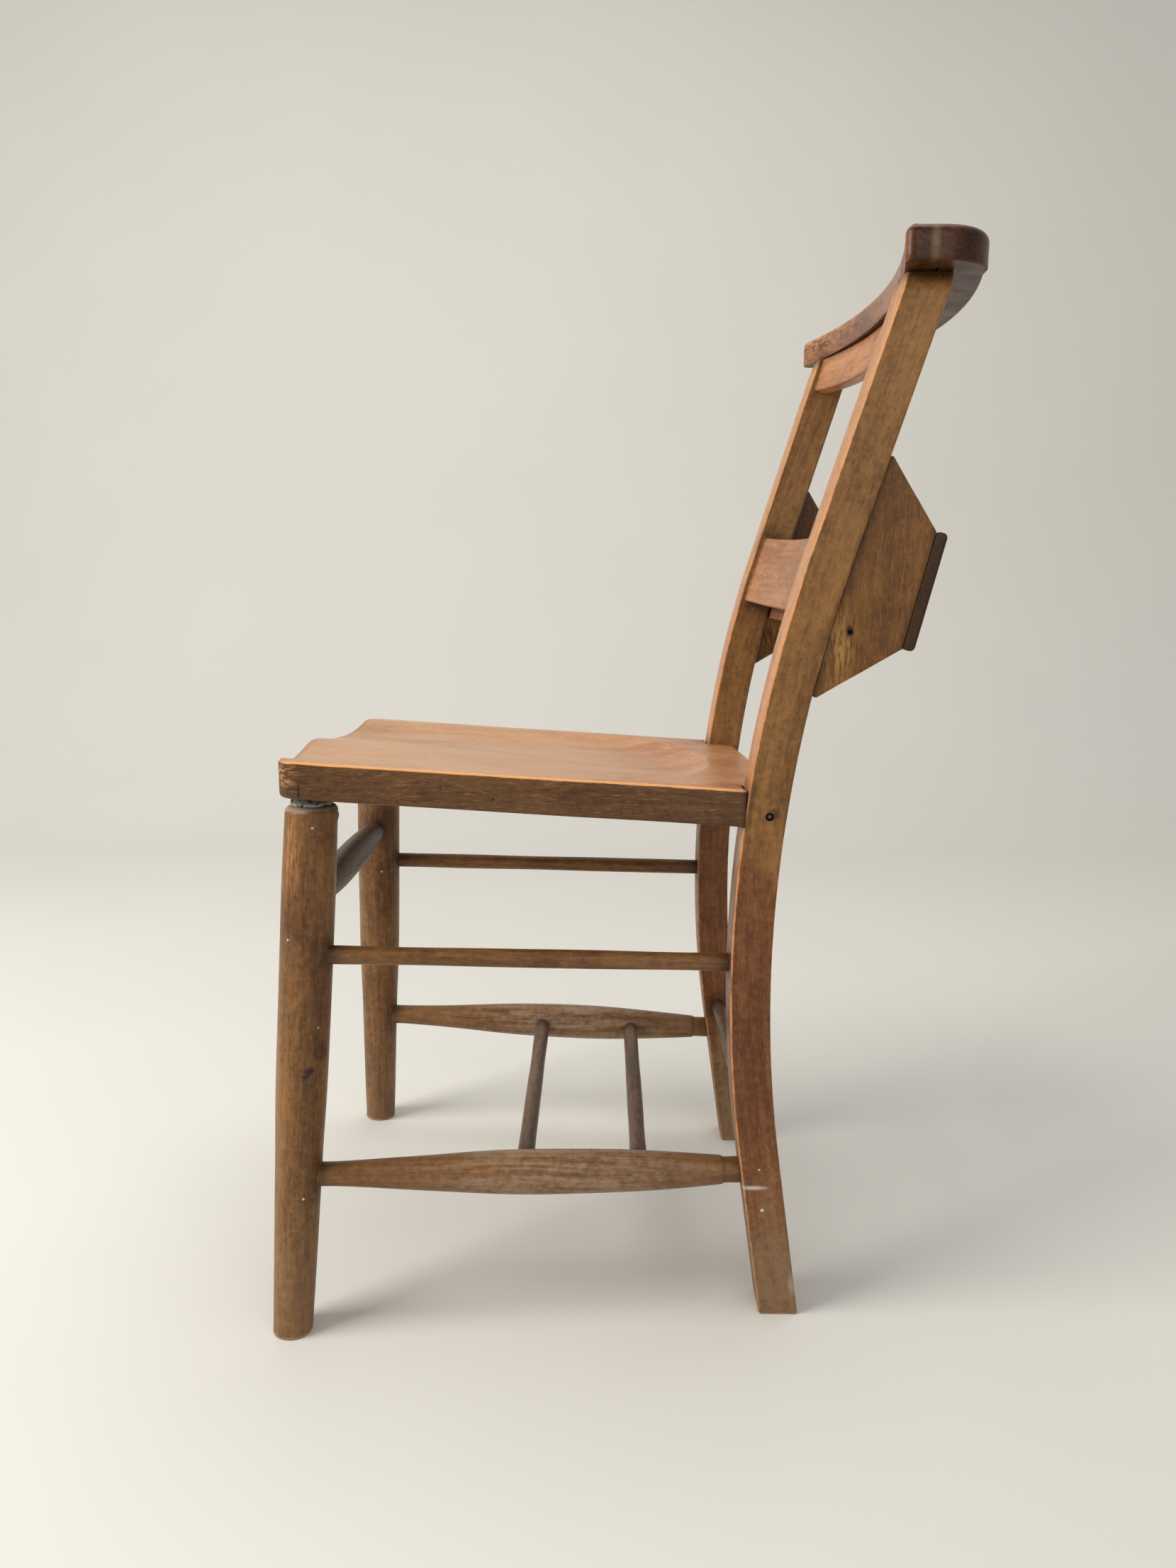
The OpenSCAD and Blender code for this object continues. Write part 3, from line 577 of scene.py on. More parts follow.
class Nodes:
    """Short names for the shader nodes that the finishes are made of."""

    def __init__(self, name):
        """Starts a material that holds only a shader and its output."""
        self.material = bpy.data.materials.new(name)
        self.material.use_nodes = True
        self.tree = self.material.node_tree
        self.tree.nodes.clear()
        self.shader = self.tree.nodes.new("ShaderNodeBsdfPrincipled")
        output = self.tree.nodes.new("ShaderNodeOutputMaterial")
        self.tree.links.new(self.shader.outputs["BSDF"], output.inputs["Surface"])

    def add(self, kind, **settings):
        """A new node of a kind, with its settings."""
        node = self.tree.nodes.new(kind)
        for key, value in settings.items():
            setattr(node, key, value)
        return node

    def feed(self, socket, value):
        """Links a socket to another node's output, or sets its plain value."""
        if isinstance(value, bpy.types.NodeSocket):
            self.tree.links.new(value, socket)
        elif isinstance(value, tuple) and len(value) == 3 and socket.type == "RGBA":
            socket.default_value = (*value, 1.0)
        else:
            socket.default_value = value

    def maths(self, operation, a, b=0.0, c=0.0, clamp=False):
        """One sum of up to three values: MULTIPLY_ADD is a times b, plus c."""
        node = self.add("ShaderNodeMath", operation=operation, use_clamp=clamp)
        for socket, value in zip(node.inputs, (a, b, c)):
            self.feed(socket, value)
        return node.outputs[0]

    def attribute(self, name):
        """The vector that a mesh holds on its points under a name."""
        return self.add("ShaderNodeAttribute", attribute_name=name).outputs["Vector"]

    def objects(self):
        """The place of a point in the chair, in metres."""
        return self.add("ShaderNodeTexCoord").outputs["Object"]

    def parts(self, vector):
        """The three parts of a vector."""
        node = self.add("ShaderNodeSeparateXYZ")
        self.feed(node.inputs[0], vector)
        return node.outputs

    def mapping(self, vector, scale=(1.0, 1.0, 1.0), place=(0.0, 0.0, 0.0)):
        """A vector times a scale, plus a place."""
        node = self.add("ShaderNodeMapping")
        self.feed(node.inputs["Vector"], vector)
        node.inputs["Location"].default_value = place
        node.inputs["Scale"].default_value = scale
        return node.outputs[0]

    def noise(self, vector, scale=1.0, detail=2.0, rough=0.5, distortion=0.0):
        """Fractal noise, as a value and as a colour: scale counts its lumps in a metre."""
        node = self.add("ShaderNodeTexNoise")
        self.feed(node.inputs["Vector"], vector)
        node.inputs["Scale"].default_value = scale
        node.inputs["Detail"].default_value = detail
        node.inputs["Roughness"].default_value = rough
        node.inputs["Distortion"].default_value = distortion
        return node.outputs["Fac"], node.outputs["Color"]

    def ramp(self, value, low, high, start=0.0, stop=1.0):
        """Runs smoothly from start to stop as the value goes from low to high."""
        node = self.add("ShaderNodeMapRange", interpolation_type="SMOOTHSTEP")
        self.feed(node.inputs["Value"], value)
        node.inputs["From Min"].default_value = low
        node.inputs["From Max"].default_value = high
        node.inputs["To Min"].default_value = start
        node.inputs["To Max"].default_value = stop
        return node.outputs["Result"]

    def mix(self, share, a, b, blend="MIX"):
        """The colour a, with its share of b laid over it."""
        node = self.add("ShaderNodeMix", data_type="RGBA", blend_type=blend)
        self.feed(node.inputs["Factor"], share)
        self.feed(node.inputs[6], a)
        self.feed(node.inputs[7], b)
        return node.outputs[2]

    def near(self, vector, place, size, soft, stretch=(1.0, 1.0, 1.0)):
        """1 within size of a place, fading over soft; stretch squeezes the spot along an axis.

        The distance is the length of the vector from the place, times stretch.
        """
        moved = self.mapping(vector, stretch, tuple(-p * k for p, k in zip(place, stretch)))
        away = self.add("ShaderNodeVectorMath", operation="LENGTH")
        self.feed(away.inputs[0], moved)
        return self.ramp(away.outputs["Value"], size + soft, max(size - soft, 0.0))

    def bump(self, height, strength, distance):
        """Tilts the shader's normal by a height, whose full range stands for the distance in metres."""
        node = self.add("ShaderNodeBump")
        node.inputs["Strength"].default_value = strength
        node.inputs["Distance"].default_value = distance
        self.feed(node.inputs["Height"], height)
        self.tree.links.new(node.outputs[0], self.shader.inputs["Normal"])


def shade(colour_value, factor):
    """A colour with each value times a factor, and no more than 1."""
    return tuple(min(1.0, c * factor) for c in colour_value)


def spot(tint, place, size, soft=0.0005, strength=0.9, stretch=(1.0, 1.0, 1.0)):
    """One mark on the wood: its tone, place, radius, softness, strength and squeeze along each axis."""
    return tuple(tint), place, size, soft, strength, stretch


# How fine each pattern of the wood is: across, across and along the grain,
# or one number where it doesn't follow the grain. All count per metre.
WARP_SCALE = (14.0, 14.0, 3.0)
WARP_REACH = (0.030, 0.030, 0.0)
RING_STRETCH = (1.0, 1.0, 0.03)
RING_PLACE = (0.041, 0.057, 0.0)
RING_SCALE = 55.0
STREAK_SCALE = (230.0, 230.0, 7.0)
FLECK_SCALE = (420.0, 420.0, 60.0)
PATCH_SCALE = (26.0, 26.0, 8.0)
CLOUD_SCALE = 42.0
MOTTLE_SCALE = (150.0, 150.0, 190.0)
PORE_SCALE = (1700.0, 1700.0, 190.0)
RAY_SCALE = (1300.0, 1300.0, 120.0)
FLAW_SCALE = (60.0, 60.0, 60.0)
SPECK_SCALE = 34.0

# How much each pattern counts in the tone, and how far the tone runs round its middle.
RING_SHARE, STREAK_SHARE, FLECK_SHARE = 0.12, 0.62, 0.62
PATCH_SHARE, CLOUD_SHARE, MOTTLE_SHARE = 0.80, 0.36, 0.56
TONE_RUN = 0.30

# The widest spots are broken up by streaks, the next by flecks and the next by flaws.
STREAKED_SPOT, FLECKED_SPOT, FLAWED_SPOT = 0.0400, 0.0060, 0.0015
END_TONE = (0.42, 0.34, 0.30)


def wood(
    name, pale, dark, seed=0.0, figure=0.5, gloss=0.40, rub=0.45, rub_tone=None, scuff=1.0, spots=(),
    shaded_side_tones=None, lit_front_tones=None, low_tones=None, sat=None, end_tone=END_TONE,
    contrast=1.0, specular=0.28, coat=0.0,
):
    """Stained, varnished and worn wood whose grain follows the piece.

    Faint growth rings lie round a line beside the piece. Soft streaks and
    short flecks are stretched along it, and slow patches vary the stain. Their
    weighted sum runs the tone from dark to pale. The rubbed edges turn to bare
    wood, the joints hold grime, cut ends are darker and the wood is scuffed
    dull near the floor. On some pieces the dirt mark also paints shade under
    and between parts. The side tones paint shade on the faces that don't look
    up, the front tones paint light on those that look forwards, the low tones
    recolour the part below a height, sat is a spot worn by sitters that also
    paints a pale sheen, and spots are splashes, knots and stains.
    """
    n = Nodes(name)
    t = tones()
    pale, dark = tuple(pale), tuple(dark)
    bare = tuple(rub_tone) if rub_tone else tuple(t.bare)
    grain = n.mapping(n.attribute("grain"), place=(0.013 * seed, 0.021 * seed, 0.37 * seed))
    edge, dirt, end = n.parts(n.attribute("marks"))[:3]
    where = n.objects()
    low = n.parts(where)[2]

    # Patterns.
    warp = n.noise(n.mapping(grain, WARP_SCALE), 1.0, 2.0)[1]
    bent = n.add("ShaderNodeVectorMath", operation="MULTIPLY_ADD")
    n.feed(bent.inputs[0], warp)
    bent.inputs[1].default_value = WARP_REACH
    n.feed(bent.inputs[2], grain)
    rings = n.add("ShaderNodeTexWave", wave_type="RINGS", rings_direction="Z", wave_profile="SIN")
    n.feed(rings.inputs["Vector"], n.mapping(bent.outputs[0], RING_STRETCH, RING_PLACE))
    rings.inputs["Scale"].default_value = RING_SCALE
    rings.inputs["Distortion"].default_value = 2.5
    rings.inputs["Detail"].default_value = 3.0
    rings.inputs["Detail Scale"].default_value = 1.2
    streak = n.noise(n.mapping(bent.outputs[0], STREAK_SCALE), 1.0, 3.0, 0.6)[0]
    fleck = n.noise(n.mapping(grain, FLECK_SCALE), 1.0, 4.0, 0.7)[0]
    patch = n.noise(n.mapping(grain, PATCH_SCALE), 1.0, 3.0, 0.6, 0.6)[0]
    cloud = n.noise(where, CLOUD_SCALE, 4.0, 0.7)[0]
    mottle = n.noise(n.mapping(where, MOTTLE_SCALE), 1.0, 4.0, 0.65)[0]
    flaw = n.noise(n.mapping(where, FLAW_SCALE, (seed, 0.3, 0.9)), 1.0, 4.0, 0.7)[0]

    # Tone of the grain.
    value = n.maths("MULTIPLY", rings.outputs["Fac"], RING_SHARE * figure)
    value = n.maths("MULTIPLY_ADD", streak, STREAK_SHARE * figure, value)
    value = n.maths("MULTIPLY_ADD", fleck, FLECK_SHARE, value)
    value = n.maths("MULTIPLY_ADD", patch, PATCH_SHARE, value)
    value = n.maths("MULTIPLY_ADD", cloud, CLOUD_SHARE, value)
    value = n.maths("MULTIPLY_ADD", mottle, MOTTLE_SHARE, value)
    most = (RING_SHARE + STREAK_SHARE) * figure + FLECK_SHARE + PATCH_SHARE + CLOUD_SHARE + MOTTLE_SHARE
    tone = n.ramp(value, 0.5 * most - TONE_RUN / contrast, 0.5 * most + TONE_RUN / contrast)
    # Faces that don't look up take the side tones: painted shade.
    if shaded_side_tones:
        facing = n.parts(n.add("ShaderNodeNewGeometry").outputs["Normal"])[2]
        shaded_flank = n.ramp(facing, 0.80, 0.45)
        pale = n.mix(shaded_flank, pale, tuple(shaded_side_tones[0]))
        dark = n.mix(shaded_flank, dark, tuple(shaded_side_tones[1]))
    # Faces that look forwards take the front tones: painted light from the front.
    if lit_front_tones:
        ahead = n.parts(n.add("ShaderNodeNewGeometry").outputs["Normal"])[1]
        front = n.ramp(ahead, -0.55, -0.80)
        pale = n.mix(front, pale, tuple(lit_front_tones[0]))
        dark = n.mix(front, dark, tuple(lit_front_tones[1]))
    if low_tones:
        low_pale, low_dark, full_height, none_height = low_tones
        below = n.ramp(n.maths("MULTIPLY_ADD", patch, 0.06, low), none_height, full_height)
        pale = n.mix(below, pale, tuple(low_pale))
        dark = n.mix(below, dark, tuple(low_dark))
    base = n.mix(tone, dark, pale)
    # The sat spot on upward faces is wear by sitters together with a painted pale sheen.
    if sat:
        tint, place, size, soft, stretch = sat
        worn = n.near(where, place, size, soft, stretch)
        worn = n.maths("MULTIPLY", worn, n.ramp(patch, 0.15, 0.80, 0.25, 0.85))
        if shaded_side_tones:
            worn = n.maths("MULTIPLY", worn, n.maths("SUBTRACT", 1.0, shaded_flank))
        base = n.mix(worn, base, tuple(tint))

    # Dark pores and pale rays.
    pores = n.noise(n.mapping(grain, PORE_SCALE, (0.7, 0.1, 0.4)), 1.0, 1.0, 0.5)[0]
    pore = n.ramp(pores, 0.56, 0.72)
    base = n.mix(n.maths("MULTIPLY", pore, 0.34), base, shade(tuple(t.grime), 1.5))
    rays = n.noise(n.mapping(grain, RAY_SCALE, (0.2, 0.8, 0.1)), 1.0, 1.0, 0.5)[0]
    base = n.mix(n.maths("MULTIPLY", n.ramp(rays, 0.60, 0.75), 0.20), base, bare)

    # Rubbed edges, scuffed feet, cut ends, grime in the joints and painted shade under and between parts.
    rubbed = n.ramp(n.maths("MULTIPLY_ADD", edge, 0.9, flaw), 1.30 - 0.5 * rub, 1.62 - 0.5 * rub)
    base = n.mix(n.maths("MULTIPLY", rubbed, 0.85), base, bare)
    near_floor = n.maths("MULTIPLY_ADD", flaw, 0.9, n.ramp(low, 0.240, 0.0, -0.60, 0.30))
    near_floor = n.maths("MULTIPLY_ADD", mottle, 0.9, near_floor)
    near_floor = n.maths("MULTIPLY_ADD", streak, 0.6, near_floor)
    scuffed = n.maths("MULTIPLY", n.ramp(near_floor, 0.85, 1.65), scuff, clamp=True)
    base = n.mix(n.maths("MULTIPLY", scuffed, 0.80), base, tuple(t.foot))
    base = n.mix(n.maths("MULTIPLY", end, 0.80), base, n.mix(1.0, base, end_tone, "MULTIPLY"))
    # The dirt mark lays the grime tone: dirt at the joints, and painted shade where a piece sets it under or
    # between parts.
    soil = n.maths("MULTIPLY", dirt, n.ramp(flaw, 0.25, 0.62, 0.45, 1.0), clamp=True)
    base = n.mix(n.maths("MULTIPLY", soil, 0.88), base, tuple(t.grime))

    # Rare specks of paint and small pits, one in each cell that draws a high or a low number.
    dots = n.add("ShaderNodeTexVoronoi", feature="F1")
    n.feed(dots.inputs["Vector"], where)
    dots.inputs["Scale"].default_value = SPECK_SCALE
    away = dots.outputs["Distance"]
    chance = n.parts(dots.outputs["Color"])[0]
    paint = n.maths("MULTIPLY", n.maths("LESS_THAN", away, 0.024), n.maths("GREATER_THAN", chance, 0.965))
    pit = n.maths("MULTIPLY", n.maths("LESS_THAN", away, 0.030), n.maths("LESS_THAN", chance, 0.050))
    base = n.mix(n.maths("MULTIPLY", pit, 0.8), base, tuple(t.grime))
    for tint, place, size, soft, strength, stretch in spots:
        found = n.near(where, place, size, soft, stretch)
        if soft > STREAKED_SPOT:
            broken = n.ramp(n.maths("MULTIPLY_ADD", mottle, 0.6, streak), 0.60, 1.05)
            found = n.maths("MULTIPLY", found, broken)
        elif soft > FLECKED_SPOT:
            found = n.maths("MULTIPLY", found, n.ramp(fleck, 0.42, 0.60))
        elif soft > FLAWED_SPOT:
            found = n.maths("MULTIPLY", found, n.ramp(flaw, 0.20, 0.75, 0.25, 1.0))
        base = n.mix(n.maths("MULTIPLY", found, strength), base, tint)
    base = n.mix(paint, base, tuple(t.paint))
    n.tree.links.new(base, n.shader.inputs["Base Color"])

    # Gloss, and relief of the grain.
    shine = n.maths("MULTIPLY_ADD", streak, 0.14, gloss - 0.07)
    shine = n.maths("MULTIPLY_ADD", cloud, 0.22, n.maths("SUBTRACT", shine, 0.11))
    shine = n.maths("MULTIPLY_ADD", rubbed, 0.10, shine)
    shine = n.maths("MULTIPLY_ADD", scuffed, 0.26, shine)
    shine = n.maths("MULTIPLY_ADD", soil, 0.22, shine, clamp=True)
    n.tree.links.new(shine, n.shader.inputs["Roughness"])
    n.shader.inputs["Specular IOR Level"].default_value = specular
    n.shader.inputs["Coat Weight"].default_value = coat
    n.shader.inputs["Coat Roughness"].default_value = 0.22
    height = n.maths("MULTIPLY_ADD", fleck, 0.35, n.maths("MULTIPLY", streak, 0.35))
    height = n.maths("MULTIPLY_ADD", pore, -0.50, height)
    height = n.maths("MULTIPLY_ADD", cloud, 0.60, height)
    height = n.maths("MULTIPLY_ADD", paint, 0.8, height)
    n.bump(height, 0.28, 0.0006)
    return n.material


def rusted_iron():
    """Dull rusted iron: lumps and finer grit, added, run the tone from a dark one to the iron's own."""
    n, t = Nodes("rusted_iron"), tones()
    where = n.objects()
    lumps = n.noise(where, 260.0, 4.0, 0.65)[0]
    fine = n.noise(where, 1560.0, 2.0, 0.6)[0]
    rough = n.maths("MULTIPLY_ADD", fine, 0.4, lumps)
    base = n.mix(n.ramp(rough, 0.45, 0.95), shade(tuple(t.iron), 0.35), tuple(t.iron))
    n.tree.links.new(base, n.shader.inputs["Base Color"])
    n.tree.links.new(n.maths("MULTIPLY_ADD", fine, 0.2, 0.65), n.shader.inputs["Roughness"])
    n.shader.inputs["Specular IOR Level"].default_value = 0.1
    n.bump(rough, 0.5, 0.0008)
    return n.material


def putty_finish():
    """Hard putty: pale where it was smoothed down on the leg, darker above with dirt and painted shadow under
    the seat, and dirty in its hollows.

    The tone runs from pale to dark with height, which lumps of noise push up
    or down, and the same lumps lay grime where they are lowest.
    """
    n, t = Nodes("putty"), tones()
    where = n.objects()
    lumps = n.noise(where, 240.0, 4.0, 0.65)[0]
    up = n.maths("MULTIPLY_ADD", lumps, 0.0040, n.parts(where)[2])
    height = n.ramp(up, SHOULDER_Z + 0.0022, SHOULDER_Z + 0.0068)
    base = n.mix(height, tuple(t.putty_pale), tuple(t.putty))
    base = n.mix(n.ramp(lumps, 0.58, 0.38), base, tuple(t.grime))
    n.tree.links.new(base, n.shader.inputs["Base Color"])
    n.shader.inputs["Roughness"].default_value = 0.6
    n.shader.inputs["Specular IOR Level"].default_value = 0.2
    n.bump(lumps, 0.6, 0.0010)
    return n.material


# -------------------------------------------------------------------- pieces

SIDES = ((LEFT, "left"), (RIGHT, "right"))
DONE = {"FINISHED"}


def mirrored_plan(points):
    """The same points of a plan on the other side: x changes its sign."""
    return points * np.array([-1.0, 1.0])


def ring_normals(ring):
    """Outward normals of a closed anticlockwise ring of plan points.

    Each is the way from the point before to the point after, of length 1 and
    turned a quarter clockwise.
    """
    way = np.roll(ring, -1, 0) - np.roll(ring, 1, 0)
    way /= np.linalg.norm(way, axis=1)[:, None]
    return np.stack([way[:, 1], -way[:, 0]], -1)


def quarter(steps):
    """Angles from 0 to 90 degrees, in radians."""
    return np.linspace(0.0, np.pi / 2.0, steps)


def edge_profile(low_radius, top_radius, thickness, low_turn, straight_steps, top_turn):
    """Inset and rise of the rings round a board's edge, from its underside to its top.

    On the lower quarter circle the inset is the radius times 1 less the sine
    of the angle, and the rise is the radius times 1 less the cosine. A
    straight run follows, then the same quarter circle upside down.
    """
    straight = np.linspace(low_radius, thickness - top_radius, straight_steps + 2)[1:-1]
    inset = np.concatenate(
        [low_radius * (1.0 - np.sin(low_turn)), np.zeros(straight_steps), top_radius * (1.0 - np.cos(top_turn))]
    )
    rise = np.concatenate(
        [low_radius * (1.0 - np.cos(low_turn)), straight, thickness - top_radius * (1.0 - np.sin(top_turn))]
    )
    return inset, rise


def board(ring, normal, middle, inset, rise, low_shares, top_shares):
    """Plan points and heights of a board's rings: out from its middle below, round its edge, and in above.

    A ring of a face is the middle plus a share of the way to the inset
    outline. A ring of the edge is the outline less its normal times the inset.
    """
    low = middle + (ring - normal * inset[0] - middle) * low_shares[:, None, None]
    edge = ring - normal * inset[:, None, None]
    top = middle + (ring - normal * inset[-1] - middle) * top_shares[:, None, None]
    up = np.concatenate([np.zeros(len(low_shares)), rise, np.full(len(top_shares), rise[-1])])
    return np.concatenate([low, edge, top]), up


def per_ring(low_shares, edge_values, top_values):
    """One value for each ring of a board: none below, then the edge's, then the top's."""
    return np.concatenate([np.zeros(len(low_shares)), edge_values, top_values])


SEAT_BOWL_BACK = 0.1200


def seat_rear_height():
    """Mid height of the seat board's edge, at its left rear corner."""
    return float(seat_plane(SEAT_HALF, SEAT_REAR)) - SEAT_THICKNESS / 2.0


def seat_outline():
    """The seat's plan as one closed ring: front edge, sides, and the notches round the posts.

    The front is the bowed edge, each front corner an arc, and the sides run
    straight to the posts. The notches follow the posts' faces at the board's
    mid height, and the tongue between them ends in a shallow parabola.
    """
    half, r, gap = SEAT_HALF, SEAT_CORNER, SEAT_CLEARANCE
    rear_z = seat_rear_height()
    face, inner = float(post_y(rear_z)), float(post_inner(rear_z))
    rear_half = float(post_outer(rear_z)) - gap
    x = np.linspace(-(half - r), half - r, 90)
    front = np.stack([x, seat_edge(x)], -1)
    angle = np.radians(np.linspace(-80.0, -2.0, 12))
    corner_y = float(seat_edge(half - r)) + r
    corner = np.stack([half - r + r * np.cos(angle), corner_y + r * np.sin(angle)], -1)
    s = np.linspace(0.0, 1.0, 110)[1:]
    side = np.stack([half + (rear_half - half) * s, corner_y + (face - gap - corner_y) * s], -1)
    s = np.linspace(0.0, 1.0, 16)[1:]
    notch = np.stack([rear_half + (inner - gap - rear_half) * s, np.full(15, face - gap)], -1)
    s = np.linspace(0.0, 1.0, 14)[1:]
    tongue = np.stack([np.full(13, inner - gap), face + (SEAT_HIGH[1] - 0.004 - face) * s], -1)
    x = np.linspace(inner - 0.004, 0.0, 46)
    rear = np.stack([x, SEAT_HIGH[1] - 0.0030 * (x / inner) ** 2], -1)
    left = np.concatenate([front[45:], corner, side, notch, tongue, rear])
    return np.concatenate([left, mirrored_plan(left[-2::-1])])


def bowl_reach(x, y):
    """How far a point lies from the middle of the seat's bowl: 1 on its rim.

    It is the square root of the squares of its share of the way to the side
    and of its share of the way to the back, added. In front it is the first.
    """
    mid_y, rear_y = SEAT_REAR - SEAT_BOWL_BACK, SEAT_REAR - 0.0200
    across = np.clip(np.abs(x) / (SEAT_HALF - 0.0200), 0.0, 1.0)
    back = np.clip((y - mid_y) / (rear_y - mid_y), 0.0, None)
    return np.sqrt(across**2 + back**2)


def seat_hollow(x, y):
    """Depth of the seat's hollow: one bowl for both thighs, with a ridge between them at the front.

    The bowl is level inside, and its wall is a parabola that rises to a clear
    rim. The ridge is a bell curve across the seat that fades towards the back.
    """
    deep, ridge_high, ridge_wide, ridge_long = 0.0112, 0.0072, 0.046, 0.200
    wall = np.clip(2.6 * (1.0 - bowl_reach(x, y)), 0.0, 1.0)
    bowl = 1.0 - (1.0 - wall) ** 2
    ridge = np.exp(-((x / ridge_wide) ** 2)) * smooth((SEAT_REAR - SEAT_BOWL_BACK - y) / ridge_long)
    return bowl * (deep - ridge_high * ridge)


def seat_normals(ring):
    """The outline's normals, which shrink to nothing within 7 mm of the notches' sharp corners."""
    rear_z, gap = seat_rear_height(), SEAT_CLEARANCE
    outer = [float(post_outer(rear_z)) - gap, float(post_y(rear_z)) - gap]
    inner = [float(post_inner(rear_z)) - gap, SEAT_HIGH[1] - 0.0035]
    sharp = np.array([outer, inner, [-outer[0], outer[1]], [-inner[0], inner[1]]])
    away = np.linalg.norm(ring - sharp[:, None, :], axis=-1).min(0)
    return ring_normals(ring) * np.clip(away / 0.0070, 0.0, 1.0)[:, None]


class CHAIR_OT_seat(bpy.types.Operator):
    """Adds the hollowed seat board"""

    bl_idname = "chapel_chair.seat"
    bl_label = "Seat"

    def execute(self, context):
        """Lays the board's rings; the hollow pulls a ring down by the square of its share of the rise."""
        e = edges()
        ring = seat_outline()
        normal = seat_normals(ring)
        middle = np.array([0.0, (SEAT_FRONT + SEAT_REAR) / 2.0])
        below, above = np.linspace(0.02, 0.98, 14), np.linspace(0.985, 0.01, 86)
        inset, rise = edge_profile(e.seat_under, e.seat, SEAT_THICKNESS, quarter(8), 8, quarter(8))
        plan, up = board(ring, normal, middle, inset, rise, below, above)
        x, y = plan[..., 0], plan[..., 1]
        share = (up / SEAT_THICKNESS)[:, None]
        z = seat_plane(x, y) - SEAT_THICKNESS + up[:, None] - seat_hollow(x, y) * share**2
        rings = np.stack([x, y, z], -1)
        grain = np.stack([x, z, y], -1)
        rings[..., 2] += e.chatter * 1.2 * chatter(rings * 0.55, 1.7)

        # The upper edge is rubbed bright, and the rim of the bowl gets a bright line that is a painted
        # highlight.
        top_edge = np.concatenate([np.zeros(16), 1.35 * np.sin(np.linspace(0.0, np.pi, 8)) ** 3])
        rubbed = per_ring(below, top_edge, 0.30 * smooth((above - 0.955) / 0.03))[:, None]
        inside = smooth((float(post_outer(SEAT_LOW[2])) - 0.0040 - np.abs(x)) / 0.0200)
        at_back = smooth((y - SEAT_REAR + SEAT_BOWL_BACK) / 0.0400)
        on_top = inside * (rings[..., 2] > seat_plane(x, y) - 0.0150) * at_back
        rim = np.exp(-(((bowl_reach(x, y) - 1.0) / 0.018) ** 2)) * on_top
        rubbed = np.maximum(rubbed, 0.50 * rim)

        # Dirt gathers against the posts and round the legs.
        corners = [[s * 0.168, SEAT_REAR + 0.002, 0.4 * 0.44] for s in (LEFT, RIGHT)]
        legs = [[s * (SEAT_HALF - 0.045), SEAT_FRONT + 0.014, 0.43] for s in (LEFT, RIGHT)]
        near_post = joint_dirt(rings * [1, 1, 0.4], corners, 0.022)
        soil = np.maximum(near_post * 0.75, joint_dirt(rings, legs, 0.028) * 0.6)

        # The front edge is cut across the grain.
        cut = np.abs(normal[:, 1]) * (ring[:, 1] < SEAT_FRONT + 0.02)
        cut = per_ring(below, np.where(np.arange(24) < 22, 1.0, 0.4), 0.0 * above)[:, None] * cut
        marks = marks_of(rubbed, soil, cut)

        t = tones()
        x = SEAT_HALF + 0.001
        spots = (
            # The worn front corner, whose pale patch also paints the highlights on its rounding.
            spot(t.rim, (x, -0.2600, 0.4640), 0.0100, 0.0080, 0.55, (0.3, 1.0, 1.4)),
            # A knot and its heart.
            spot(t.side_shade_pale, (x, -0.2307, 0.4613), 0.0065, 0.0050, 0.80, (0.3, 1.0, 1.2)),
            spot(t.grime, (x, -0.2307, 0.4613), 0.0022, 0.0018, 0.70, (0.3, 0.6, 1.0)),
            # A short upright crack.
            spot(t.grime, (x, -0.2470, 0.4516), 0.0008, 0.0004, 0.90, (0.1, 1.0, 0.11)),
            # Three pits and a speck of paint.
            spot(t.grime, (x, -0.1374, 0.4543), 0.0012, 0.0005, 0.90, (0.3, 1.0, 1.0)),
            spot(t.grime, (x, -0.1341, 0.4711), 0.0010, 0.0005, 0.90, (0.3, 1.0, 1.0)),
            spot(t.grime, (x, -0.0971, 0.4461), 0.0015, 0.0006, 0.90, (0.3, 1.0, 1.0)),
            spot(t.paint, (x, -0.1894, 0.4725), 0.0011, 0.0004, 0.90, (0.3, 1.0, 1.0)),
        )
        # The sat spot on the seat's front is wear together with painted sheen.
        # The side tones paint shade on the seat's edges, and the top's paler tones carry painted sheen.
        finish = wood(
            "seat_varnish", t.seat_pale, t.seat_dark, 1.0, gloss=0.36, rub=0.95, rub_tone=t.rim,
            figure=0.55, coat=0.06, shaded_side_tones=(t.side_shade_pale, t.side_shade_dark), contrast=0.9, spots=spots,
            sat=(t.seat_sat_sheen, (0.0, SEAT_FRONT + 0.10, 0.46), 0.190, 0.100, (0.75, 1.0, 0.0)),
        )
        mesh = tube_piece("seat_board", rings, grain, marks)
        add_piece("seat_board", mesh, finish, "varnished_seat", "seat")
        return DONE


LEG_STEPS = 64
LEG_FOOT_ROUND = 0.0016
NECK_RADIUS = 0.0160
NECK_TOP = {LEFT: 0.4475, RIGHT: 0.4375}
# Heights up a front leg, and its radius at each.
LEG_HEIGHTS = (0.0, 0.008, 0.044, 0.104, 0.151, 0.192, 0.222, 0.286, 0.373, 0.424)
LEG_RADII = (0.0159, 0.0162, 0.0171, 0.0182, 0.0191, 0.0206, 0.0212, 0.0216, 0.0219, 0.0213)
# Heights at which the lower, the upper and the front stretcher enter a leg.
LEG_SOCKETS = (0.313, 0.1300, 0.352)


def leg_radius(z):
    """Radius of a front leg at height z: a straight taper to the foot and a slight belly below the shoulder.

    It is read off between the given heights, and made even by two running
    means of seven circles.
    """
    radius = np.interp(z, LEG_HEIGHTS, LEG_RADII)
    for _ in range(2):
        radius = np.convolve(np.pad(radius, 3, mode="edge"), np.full(7, 1.0 / 7.0), mode="valid")
    return radius


